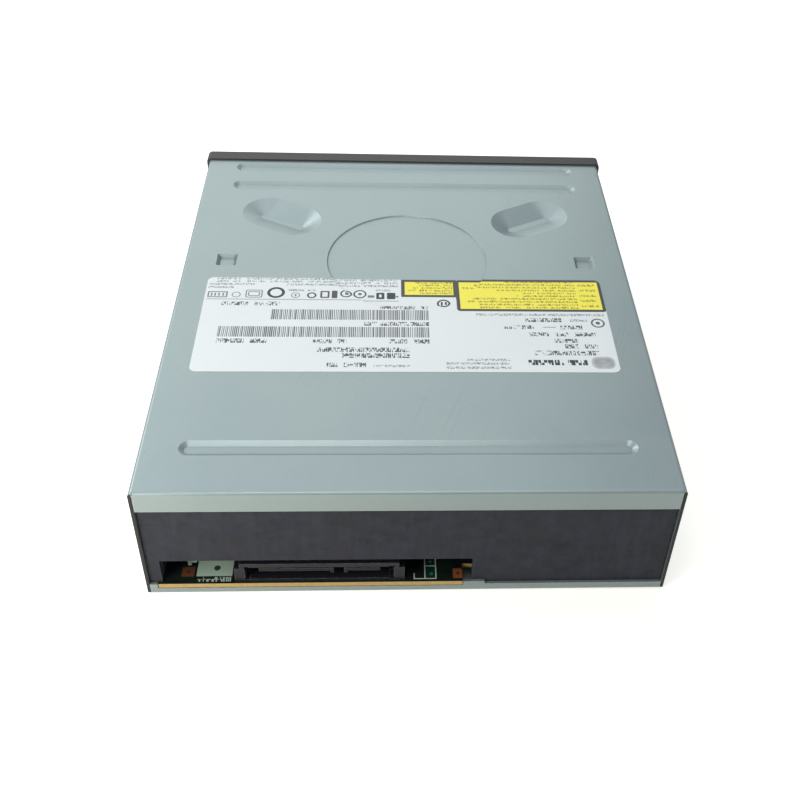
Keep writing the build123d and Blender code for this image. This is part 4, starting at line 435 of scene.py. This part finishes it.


# The cover's side sheets stand outside this X, and a face turned this far back is a cut end, which
# gets painted shade
SIDE_SHEETS = 72.1
TURNED_BACK = 0.9


def galvanised_steel():
    """Pale blue-grey zinc-coated sheet: faint clouds, spangle and a few scratches; edges lightened
    partly by rubbing, partly as painted highlight; painted shade in folds, hollows and on the cut
    side ends."""
    material, w, surface = new_material("galvanised sheet")
    cloud = effect(w, MOTTLE, Size=38.0, Softness=0.45)
    spangle = effect(w, MOTTLE, Size=2.2, Softness=0.35)
    scratch = w.larger(effect(w, SCRATCHES, Angle=0.5), effect(w, SCRATCHES, Angle=1.9))
    painted_crease_shade = effect(w, PAINTED_CREASE_SHADE, Reach=1.3, Falloff=1.0)
    wear_and_highlight = effect(w, EDGE_WEAR_AND_HIGHLIGHT, Width=0.35, Strength=0.55)
    outer = w.above(w.magnitude(w.axes(w.place())["X"]), SIDE_SHEETS * MM)
    painted_shade_on_cut_ends = w.times(outer, w.above(w.facing("True Normal")["Y"], TURNED_BACK))

    colour = w.two_tints(cloud, (151, 166, 168), (163, 176, 176))
    colour = w.laid_over(colour, spangle, (190, 200, 202), strength=0.10)
    colour = w.laid_over(colour, scratch, (120, 132, 134), strength=0.08)
    # Painted shade: folds, beads, dishes and the clamp circle are darkened where they are shut in
    crease_shade = w.spread(painted_crease_shade, low=0.04, high=0.55, to_high=0.85)
    colour = w.laid_over(colour, crease_shade, (70, 80, 84))
    # Edges lightened partly by rubbing, partly as painted highlight along the folds
    colour = w.laid_over(colour, wear_and_highlight, (225, 230, 230))
    # Painted shade: the cut ends of the cover's sides are made near-black and not metallic,
    # standing for the shade at the rear corners
    colour = w.laid_over(colour, painted_shade_on_cut_ends, (20, 22, 25))
    w.feed(surface["Base Color"], colour)

    metal_share = 0.72
    w.feed(surface["Metallic"], w.times(w.minus(1.0, painted_shade_on_cut_ends), metal_share))
    patches = w.plus(cloud, w.times(spangle, 0.5))
    w.feed(surface["Roughness"], w.spread(patches, 0.0, 1.5, to_low=0.34, to_high=0.46))
    height = w.minus(w.times(w.grain(1.1), 0.5), w.times(scratch, 0.6))
    relief(w, surface, height, depth=0.02)
    return material


# Noise between these two values carries a plain finish from its smoothest to its roughest
NOISE_LOW, NOISE_HIGH = 0.3, 0.7
ROUGHNESS_SWING = 0.06


def plain_finish(name, tint, other, rough, metallic=0.0, grain=0.5, bump=0.01, wear_and_highlight=0.3,
                 rubbed_and_lit_edge=(255, 255, 255)):
    """A moulded or machined surface: two close tints in cloudy patches, fine grain and edges
    lightened partly by rubbing, partly as painted highlight."""
    material, w, surface = new_material(name)
    base = w.two_tints(effect(w, MOTTLE, Size=6.0, Softness=0.3), tint, other)
    # Edges lightened partly by rubbing, partly as painted highlight
    base = w.laid_over(base, effect(w, EDGE_WEAR_AND_HIGHLIGHT, Width=0.25, Strength=wear_and_highlight), rubbed_and_lit_edge)
    w.feed(surface["Base Color"], base)
    w.feed(surface["Metallic"], metallic)
    noise = w.grain(grain)
    roughness = w.spread(noise, NOISE_LOW, NOISE_HIGH, rough - ROUGHNESS_SWING,
                         rough + ROUGHNESS_SWING)
    w.feed(surface["Roughness"], roughness)
    relief(w, surface, noise, bump)
    return material


def rear_wall_plastic():
    """Charcoal moulded plastic, dusty, with soft bluish, purplish and brownish patches, faint
    upright streaks and painted shade darkening its folds and hollows."""
    material, w, surface = new_material("charcoal moulding")
    upright = (420.0, 420.0, 45.0)
    streak = w.noise(w.stretched(w.place(), upright), detail=2.0)
    base = w.two_tints(effect(w, MOTTLE, Size=9.0, Softness=0.26), (24, 32, 39), (34, 42, 52))
    purplish = effect(w, MOTTLE, Size=3.6, Softness=0.14)
    base = w.laid_over(base, purplish, (52, 50, 66), strength=0.6)
    brownish = effect(w, MOTTLE, Size=5.1, Softness=0.10)
    base = w.laid_over(base, brownish, (48, 43, 40), strength=0.28)
    base = w.laid_over(base, w.spread(streak, low=0.52, high=0.75, to_high=0.35), (60, 64, 74))
    dust = effect(w, MOTTLE, Size=1.0, Softness=0.3)
    base = w.laid_over(base, dust, (70, 73, 78), strength=0.14)
    # Painted shade: the wall is darkened near-black where it is shut in
    painted_crease_shade = effect(w, PAINTED_CREASE_SHADE, Reach=5.0, Falloff=1.0)
    base = w.laid_over(base, w.spread(painted_crease_shade, low=0.45, high=0.9, to_high=0.9), (8, 9, 11))
    # Edges lightened partly by rubbing, partly as painted highlight
    base = w.laid_over(base, effect(w, EDGE_WEAR_AND_HIGHLIGHT, Width=0.3, Strength=0.25), (120, 124, 132))
    w.feed(surface["Base Color"], base)
    roughness = w.spread(streak, NOISE_LOW, NOISE_HIGH, to_low=0.52, to_high=0.66)
    w.feed(surface["Roughness"], roughness)
    w.feed(surface["Specular IOR Level"], 0.28)
    relief(w, surface, w.grain(0.6), depth=0.03)
    return material


# The rating label's yellow fields: left, right, front, rear and corner radius in millimetres
YELLOW_FIELDS = ((2.25, -15.7, 72.8, 81.9, 0.0), (-15.3, -63.0, 72.8, 89.4, 1.2))
YELLOW_BORDER = 1.15

# Single rows of print: left, right, front and rear
LARGE_PRINT = (
    (58.4, 50.0, 85.3, 87.2), (48.1, 40.2, 85.3, 87.2), (8.8, -2.1, 86.7, 88.6),
    (-3.9, -6.3, 86.7, 88.6), (13.7, -6.3, 95.0, 96.9), (57.8, 49.5, 103.3, 105.25),
    (47.8, 42.7, 103.3, 105.25), (29.0, 23.4, 103.3, 105.25), (21.6, 18.9, 103.3, 105.25),
    (6.2, 0.6, 103.3, 105.25), (-1.3, -6.3, 103.3, 105.25), (27.6, 0.0, 107.2, 109.25),
    (20.2, -0.1, 109.8, 111.9), (24.5, 21.2, 114.1, 116.0), (19.4, 12.7, 114.1, 116.0),
    (-36.5, -48.0, 92.7, 94.6), (-29.6, -38.7, 96.25, 98.1), (-47.1, -54.0, 96.25, 98.1),
    (-37.1, -43.1, 99.7, 101.5), (-45.2, -49.4, 99.7, 101.5), (-51.1, -57.7, 99.7, 101.5),
    (-44.6, -51.9, 102.7, 104.6), (-47.5, -51.6, 105.2, 107.2), (-53.6, -57.6, 105.2, 107.2),
    (-37.5, -57.6, 108.3, 110.4))
HEAVY_PRINT = ((-35.5, -46.1, 112.5, 114.9), (-47.1, -53.4, 112.5, 114.9))
SMALL_PRINT = (
    (10.8, -0.1, 115.0, 116.0), (-21.1, -61.7, 90.5, 91.6), (-50.5, -56.1, 93.1, 94.3),
    (38.3, 33.1, 78.75, 79.8), (32.0, 29.3, 78.8, 79.8), (10.4, 5.6, 78.1, 79.1),
    (-17.1, -30.0, 112.1, 113.1), (-10.9, -30.0, 113.75, 114.8), (-10.9, -30.2, 115.6, 116.7),
    (63.4, 55.3, 77.5, 78.5), (63.4, 49.0, 75.8, 76.8), (39.1, 3.3, 75.8, 76.8))

# Several even rows: left, right, front, rear, row pitch, filled share of the pitch, and how far
# the left ends fall short at most
GREY_ROWS = ((61.1, 53.7, 72.85, 75.4, 1.4, 0.74, 0.0), (51.6, 3.3, 72.85, 75.4, 1.4, 0.74, 0.0))
BROWN_ROWS = ((0.6, -14.2, 73.8, 80.3, 1.38, 0.7, 5.5),
              (-17.3, -54.2, 73.6, 88.0, 1.48, 0.62, 20.0),
              (-55.2, -60.7, 75.1, 87.4, 2.68, 0.42, 0.0))
ROW_SEED = 9.0
BAR_BANDS = ((42.6, -6.3, 89.1, 94.05), (58.0, -6.3, 97.5, 102.4))

# Small plain marks: left, right, front, rear, corner radius, line width (0 is filled), strength
MARKS = (
    (63.2, 57.0, 80.2, 83.25, 0.2, 0.45, 0.8), (62.2, 61.7, 81.0, 82.5, 0.0, 0.0, 0.8),
    (61.1, 60.6, 81.0, 82.5, 0.0, 0.0, 0.8), (59.9, 59.4, 81.0, 82.5, 0.0, 0.0, 0.8),
    (58.6, 58.1, 81.0, 82.5, 0.0, 0.0, 0.8), (55.7, 52.9, 80.4, 83.2, 1.4, 0.3, 0.8),
    (51.4, 46.1, 79.25, 83.25, 0.8, 0.35, 0.85), (50.6, 46.9, 80.05, 82.45, 0.5, 0.35, 0.8),
    (44.7, 39.1, 77.8, 83.4, 2.8, 0.95, 1.0), (37.1, 34.3, 80.5, 83.3, 1.4, 0.3, 0.8),
    (36.0, 35.4, 81.3, 82.5, 0.0, 0.0, 0.7), (32.1, 29.1, 80.4, 83.4, 1.5, 0.55, 1.0),
    (27.9, 25.0, 79.6, 83.2, 0.3, 0.6, 0.95), (24.3, 22.5, 79.4, 83.3, 0.3, 0.0, 0.95),
    (21.65, 17.85, 79.0, 82.8, 1.9, 0.5, 1.0), (17.5, 13.3, 78.5, 82.7, 2.1, 0.5, 1.0),
    (20.1, 18.9, 80.3, 81.5, 0.2, 0.0, 0.9), (16.0, 14.8, 80.0, 81.2, 0.6, 0.0, 0.9),
    (10.2, 7.6, 79.8, 83.1, 0.4, 0.9, 1.0), (6.8, 4.1, 79.8, 83.1, 0.4, 0.0, 1.0),
    (12.9, 10.8, 81.2, 82.4, 0.2, 0.0, 0.8), (4.0, 3.2, 81.4, 82.2, 0.0, 0.0, 0.8),
    (63.4, 3.1, 83.9, 84.3, 0.0, 0.0, 0.55), (-9.05, -13.35, 83.15, 87.45, 2.15, 0.6, 1.0),
    (-10.3, -10.9, 84.3, 86.3, 0.0, 0.0, 1.0), (-11.6, -12.2, 84.3, 86.3, 0.0, 0.0, 1.0),
    (-41.7, -45.7, 97.0, 97.3, 0.0, 0.0, 0.8), (-57.0, -61.4, 92.8, 97.2, 2.2, 0.55, 0.9),
    (-58.5, -59.9, 94.3, 95.7, 0.7, 0.0, 0.9))

# The faint grey stamp at a corner of the label, and the smudge on it
STAMP = (-54.6, -61.7, 111.0, 116.5, 2.2, 0.0)
STAMP_SMUDGE = (-55.3, -61.1, 111.7, 115.9, 1.6, 0.0)

INK, GREY_INK, BROWN_INK = (44, 46, 49), (112, 118, 121), (96, 88, 26)
BORDER_INK, YELLOW_INK = (62, 62, 60), (250, 238, 74)

# Letter height in millimetres, ink, its strength and the rows it prints
ONE_ROW_PRINT = ((1.9, INK, 0.92, LARGE_PRINT), (2.9, INK, 1.0, HEAVY_PRINT),
                 (1.05, GREY_INK, 0.85, SMALL_PRINT))


def one_row_print(w, base):
    """Each kind of print is one pattern all over, cut to the boxes of its rows: a pattern per row
    would make the shader too large."""
    for height, ink, strength, boxes in ONE_ROW_PRINT:
        inside = None
        for left, right, front, rear in boxes:
            box = effect(w, FIELD, Left=left, Right=right, Front=front, Rear=rear)
            inside = box if inside is None else w.larger(inside, box)
        strokes = w.times(effect(w, STROKES, Height=height), strength)
        base = w.laid_over(base, w.times(inside, strokes), ink)
    return base


def label_print():
    """White sticker: two yellow fields in dark borders, rows of fine strokes, bar patterns and
    small plain marks."""
    material, w, surface = new_material("printed label")
    base = w.two_tints(effect(w, MOTTLE, Size=20.0, Softness=0.3), (226, 232, 233), (232, 237, 237))
    for *sides, corner in YELLOW_FIELDS:
        base = w.laid_over(base, panel_mask(w, *sides, corner, 0.0), YELLOW_INK)
        base = w.laid_over(base, panel_mask(w, *sides, corner, YELLOW_BORDER), BORDER_INK)
    base = one_row_print(w, base)
    for ink, rows in ((GREY_INK, GREY_ROWS), (BROWN_INK, BROWN_ROWS)):
        for left, right, front, rear, pitch, fill, ragged in rows:
            rows_mask = effect(w, ROWS, Left=left, Right=right, Front=front, Rear=rear,
                               Pitch=pitch, Fill=fill, Ragged=ragged,
                               Seed=ROW_SEED * abs(round(left)))
            base = w.laid_over(base, rows_mask, ink, strength=0.8)
    for left, right, front, rear in BAR_BANDS:
        bars = effect(w, BARS, Left=left, Right=right, Front=front, Rear=rear)
        base = w.laid_over(base, bars, INK, strength=0.88)
    for *box, strength in MARKS:
        base = w.laid_over(base, panel_mask(w, *box), INK, strength)
    base = w.laid_over(base, panel_mask(w, *STAMP), (110, 112, 116), strength=0.45)
    smudge = w.times(effect(w, MOTTLE, Size=2.6, Softness=0.35), 0.6)
    base = w.laid_over(base, w.times(panel_mask(w, *STAMP_SMUDGE), smudge), (70, 72, 76))
    w.feed(surface["Base Color"], base)
    w.feed(surface["Roughness"], 0.42)
    w.feed(surface["Coat Weight"], 0.15)
    relief(w, surface, w.grain(4.0), depth=0.02)
    return material


# What shows on the main board in the rear window, in the order of printing: colour, then boxes
# as left, right, front, rear, corner radius and line width (0 is filled)
PALE_PRINT = (186, 200, 188)
BOARD_MARKS = (
    # The two copper pads are one copper: the left one is a darker copy as painted shade, the right
    # one a lighter copy as it is lit
    ((92, 54, 36), ((63.9, 60.35, 159.0, 162.4, 0.3, 0.0),)),
    ((124, 72, 42), ((-12.3, -15.1, 160.4, 163.8, 0.3, 0.0),)),
    ((158, 178, 162), ((59.7, 49.8, 155.6, 162.3, 0.2, 0.0),)),
    ((40, 26, 18), ((62.5, 61.7, 160.3, 161.1, 0.4, 0.0), (-13.3, -14.1, 161.7, 162.5, 0.4, 0.0))),
    ((10, 44, 32), ((-4.5, -7.3, 156.2, 159.3, 0.0, 0.0), (-4.5, -7.3, 159.6, 163.7, 0.0, 0.0))),
    (PALE_PRINT, ((62.9, 60.2, 156.9, 157.5, 0.0, 0.0), (62.6, 61.6, 157.7, 158.4, 0.0, 0.0),
                  (-1.15, -4.45, 163.72, 164.0, 0.0, 0.0), (-1.15, -1.43, 161.9, 164.0, 0.0, 0.0),
                  (-4.2, -7.6, 159.3, 164.0, 0.0, 0.28), (-4.2, -7.6, 155.9, 159.6, 0.0, 0.28))),
    ((52, 110, 84), ((-5.5, -6.4, 157.5, 158.4, 0.45, 0.0), (-5.7, -6.7, 161.7, 162.7, 0.5, 0.0))),
    ((34, 66, 50), ((55.1, 53.3, 158.6, 160.4, 0.9, 0.0),)),
)

# A face of the board whose Z direction is below this is a cut edge
LEVEL_ENOUGH = 0.5


def circuit_board():
    """Near-black green board with copper pads, pale print, white outlines and tan cut edges."""
    material, w, surface = new_material("circuit board")
    weave = effect(w, MOTTLE, Size=1.4, Softness=0.25)
    base = w.two_tints(weave, (9, 15, 14), (14, 22, 20))
    greener = effect(w, MOTTLE, Size=6.0, Softness=0.05)
    base = w.laid_over(base, greener, (14, 34, 26), strength=0.5)
    for colour, boxes in BOARD_MARKS:
        for box in boxes:
            base = w.laid_over(base, panel_mask(w, *box), colour)
    strokes = effect(w, ROWS, Left=59.3, Right=50.0, Front=162.65, Rear=164.2, Pitch=1.55,
                     Fill=1.0, Seed=5.0)
    base = w.laid_over(base, strokes, PALE_PRINT, strength=0.8)
    cut = w.below(w.magnitude(w.facing()["Z"]), LEVEL_ENOUGH)
    base = w.tint(cut, base, w.two_tints(weave, (196, 164, 104), (176, 148, 92)))
    w.feed(surface["Base Color"], base)
    w.feed(surface["Roughness"], w.spread(cut, 0.0, 1.0, to_low=0.38, to_high=0.8))
    return material


# The thread drawn on the feed screw: its pitch and depth in millimetres
THREAD_PITCH = 1.0
THREAD_DEPTH = 0.25


def threaded_rod():
    """Bright feed screw with its thread as relief round the rod."""
    material, w, surface = new_material("threaded rod")
    cloud = effect(w, MOTTLE, Size=3.0, Softness=0.3)
    w.feed(surface["Base Color"], w.two_tints(cloud, (190, 190, 192), (214, 214, 216)))
    w.feed(surface["Metallic"], 1.0)
    w.feed(surface["Roughness"], 0.25)
    half_turns = w.times(w.axes(w.place())["Y"], 2.0 / (THREAD_PITCH * MM))
    relief(w, surface, w.math("PINGPONG", half_turns, 1.0), THREAD_DEPTH)
    return material


def lens_glass():
    """Coated lens: blue seen straight on, purplish at its rim."""
    material, w, surface = new_material("lens glass")
    grazing = w.add("ShaderNodeLayerWeight", {"Blend": 0.35}).outputs["Facing"]
    w.feed(surface["Base Color"], w.two_tints(grazing, (70, 90, 180), (190, 150, 220)))
    w.feed(surface["Roughness"], 0.04)
    w.feed(surface["Coat Weight"], 1.0)
    return material


def clear_pipe():
    """Milky plastic of the lamp and its light pipe."""
    material, w, surface = new_material("clear pipe")
    patch = effect(w, MOTTLE, Size=1.5, Softness=0.3)
    w.feed(surface["Base Color"], w.two_tints(patch, (196, 206, 190), (216, 224, 208)))
    w.feed(surface["Roughness"], 0.2)
    w.feed(surface["Coat Weight"], 0.6)
    return material


# Which finish each piece wears

SPECIAL_FINISHES = (
    (galvanised_steel, ("top_cover", "bottom_cover", "clamp_bridge", "traverse_plate",
                        "pickup_cover")),
    (rear_wall_plastic, ("mainframe",)),
    (label_print, ("rating_label",)),
    (circuit_board, ("main_board", "front_board")),
    (threaded_rod, ("feed_screw",)),
    (lens_glass, ("objective_lens",)),
    (clear_pipe, ("light_pipe", "indicator_lamp")),
)

# Name, two tints, roughness, what differs from a plain finish's settings, and the pieces
PLAIN_FINISHES = (
    ("black bezel plastic", (54, 54, 53), (60, 60, 58), 0.5,
     {"bump": 0.02, "wear_and_highlight": 0.35, "rubbed_and_lit_edge": (120, 118, 112)},
     ("front_bezel", "tray_door", "eject_button")),
    ("tray plastic", (44, 45, 48), (50, 51, 54), 0.55,
     {"grain": 0.4, "bump": 0.02, "rubbed_and_lit_edge": (100, 100, 102)}, ("disc_tray",)),
    ("loader plastic", (40, 41, 43), (48, 49, 52), 0.55,
     {"rubbed_and_lit_edge": (96, 96, 98)}, ("loader_base", "rod_holders")),
    ("socket plastic", (14, 15, 21), (19, 20, 27), 0.46,
     {"grain": 0.3, "wear_and_highlight": 0.8, "rubbed_and_lit_edge": (112, 116, 128)}, ("rear_socket",)),
    ("gilt contact", (214, 176, 92), (198, 158, 76), 0.25,
     {"metallic": 1.0, "wear_and_highlight": 0.1}, ("socket_contacts",)),
    ("screw steel", (140, 142, 146), (120, 122, 126), 0.32,
     {"metallic": 1.0, "rubbed_and_lit_edge": (220, 220, 222)},
     ("case_screws", "board_screws", "motor_screws", "front_board_screws", "damper_screws",
      "clamper_yoke")),
    ("chip package", (30, 31, 33), (36, 37, 39), 0.5, {"grain": 0.2},
     ("controller_chip", "motor_driver_chip", "memory_chip", "eject_switch", "actuator_frame",
      "lens_holder")),
    ("capacitor can", (186, 190, 194), (172, 176, 180), 0.28, {"metallic": 1.0},
     ("board_capacitors",)),
    ("ivory connector", (216, 206, 180), (206, 196, 168), 0.5, {"grain": 0.3},
     ("ribbon_sockets", "front_cable_socket")),
    ("cable film", (226, 228, 226), (214, 216, 214), 0.35, {"grain": 3.0}, ("front_cable",)),
    ("white acetal", (228, 226, 216), (218, 216, 206), 0.38, {"grain": 0.4},
     ("drive_gear", "pulley_gear", "motor_pulley", "cam_slider", "feed_nut")),
    ("belt rubber", (26, 26, 27), (34, 34, 35), 0.75, {"grain": 0.3, "bump": 0.03},
     ("drive_belt", "friction_ring")),
    ("damper rubber", (44, 60, 104), (52, 68, 114), 0.7, {"grain": 0.3, "bump": 0.03},
     ("dampers",)),
    ("motor can", (176, 178, 180), (160, 162, 164), 0.3, {"metallic": 1.0},
     ("loading_motor", "spindle_motor_base", "spindle_rotor", "feed_motor")),
    ("bright rod", (208, 208, 210), (196, 196, 198), 0.12, {"metallic": 1.0, "bump": 0.002},
     ("guide_rods",)),
    ("turntable plastic", (38, 38, 40), (44, 44, 46), 0.45, {}, ("turntable",)),
    ("pickup casting", (150, 152, 154), (132, 134, 136), 0.45,
     {"metallic": 0.9, "grain": 0.8, "bump": 0.03}, ("pickup_body",)),
    ("magnet grey", (120, 122, 124), (106, 108, 110), 0.35, {"metallic": 0.9},
     ("actuator_magnets", "clamper_magnet")),
    ("copper wire", (196, 128, 80), (180, 112, 66), 0.3, {"metallic": 1.0},
     ("suspension_wires", "stator_coils", "focus_coils")),
    ("clamp plastic", (220, 220, 214), (210, 210, 204), 0.45, {}, ("clamper",)),
)


def dress(material, names):
    """Gives these pieces one finish, also where a piece has several slots."""
    for name in names:
        slots = nodes[name].data.materials
        if not slots:
            slots.append(material)
        for index in range(len(slots)):
            slots[index] = material


def dress_all():
    for finish, names in SPECIAL_FINISHES:
        dress(finish(), names)
    for name, tint, other, rough, settings, names in PLAIN_FINISHES:
        dress(plain_finish(name, tint, other, rough, **settings), names)


# Stage


def soft_light(name, place, size, power, colour):
    bpy.ops.object.light_add(type="AREA", location=place)
    light = bpy.context.object
    light.name = name
    light.data.size = size
    light.data.energy = power
    light.data.color = colour
    light.visible_camera = False
    light.rotation_mode = "QUATERNION"
    light.rotation_quaternion = (-Vector(place)).to_track_quat("-Z", "Y")


def pale_floor():
    """Near-white floor that also glows, but only as the camera sees it."""
    bpy.ops.mesh.primitive_plane_add(size=FLOOR_SIZE, location=(0, 0, -FLOOR_DROP))
    floor = bpy.context.object
    floor.name = "floor"
    material, w, surface = new_material("pale floor")
    cloud = effect(w, MOTTLE, Size=400.0, Softness=0.4)
    w.feed(surface["Base Color"], w.two_tints(cloud, (252, 247, 236), (254, 250, 240)))
    w.feed(surface["Roughness"], 0.9)
    seen = w.add("ShaderNodeLightPath").outputs["Is Camera Ray"]
    w.feed(surface["Emission Color"], w.two_tints(seen, (0, 0, 0), (255, 255, 255)))
    w.feed(surface["Emission Strength"], FLOOR_GLOW)
    floor.data.materials.append(material)


def studio():
    """Pale floor, white surroundings, and soft lights over the rear, from the photograph's left,
    and from low beyond the front."""
    pale_floor()
    world = bpy.data.worlds.new("studio")
    world.use_nodes = True
    sky = world.node_tree.nodes["Background"].inputs
    sky["Color"].default_value = ROOM_COLOUR
    sky["Strength"].default_value = ROOM_STRENGTH
    bpy.context.scene.world = world
    for light in SOFT_LIGHTS:
        soft_light(*light)
    bpy.context.scene.view_settings.view_transform = "Standard"


def photo_camera():
    """The photograph's camera. Its centre lies off the picture's middle, which the lens shift
    allows for."""
    bpy.ops.object.camera_add()
    camera = bpy.context.object
    right, down, ahead = Vector(CAMERA_RIGHT), Vector(CAMERA_DOWN), Vector(CAMERA_AHEAD)
    turn = Matrix((right, -down, -ahead)).transposed().to_4x4()
    camera.matrix_world = Matrix.Translation(Vector(CAMERA_PLACE) * MM) @ turn
    camera.data.sensor_width = SENSOR
    camera.data.lens = FOCAL_PIXELS / FRAME_PIXELS * SENSOR
    camera.data.shift_x = (FRAME_PIXELS / 2 - CENTRE_PIXELS[0]) / FRAME_PIXELS
    camera.data.shift_y = (CENTRE_PIXELS[1] - FRAME_PIXELS / 2) / FRAME_PIXELS
    camera.data.clip_start = CAMERA_NEAR
    bpy.context.scene.camera = camera


dress_all()
studio()
photo_camera()
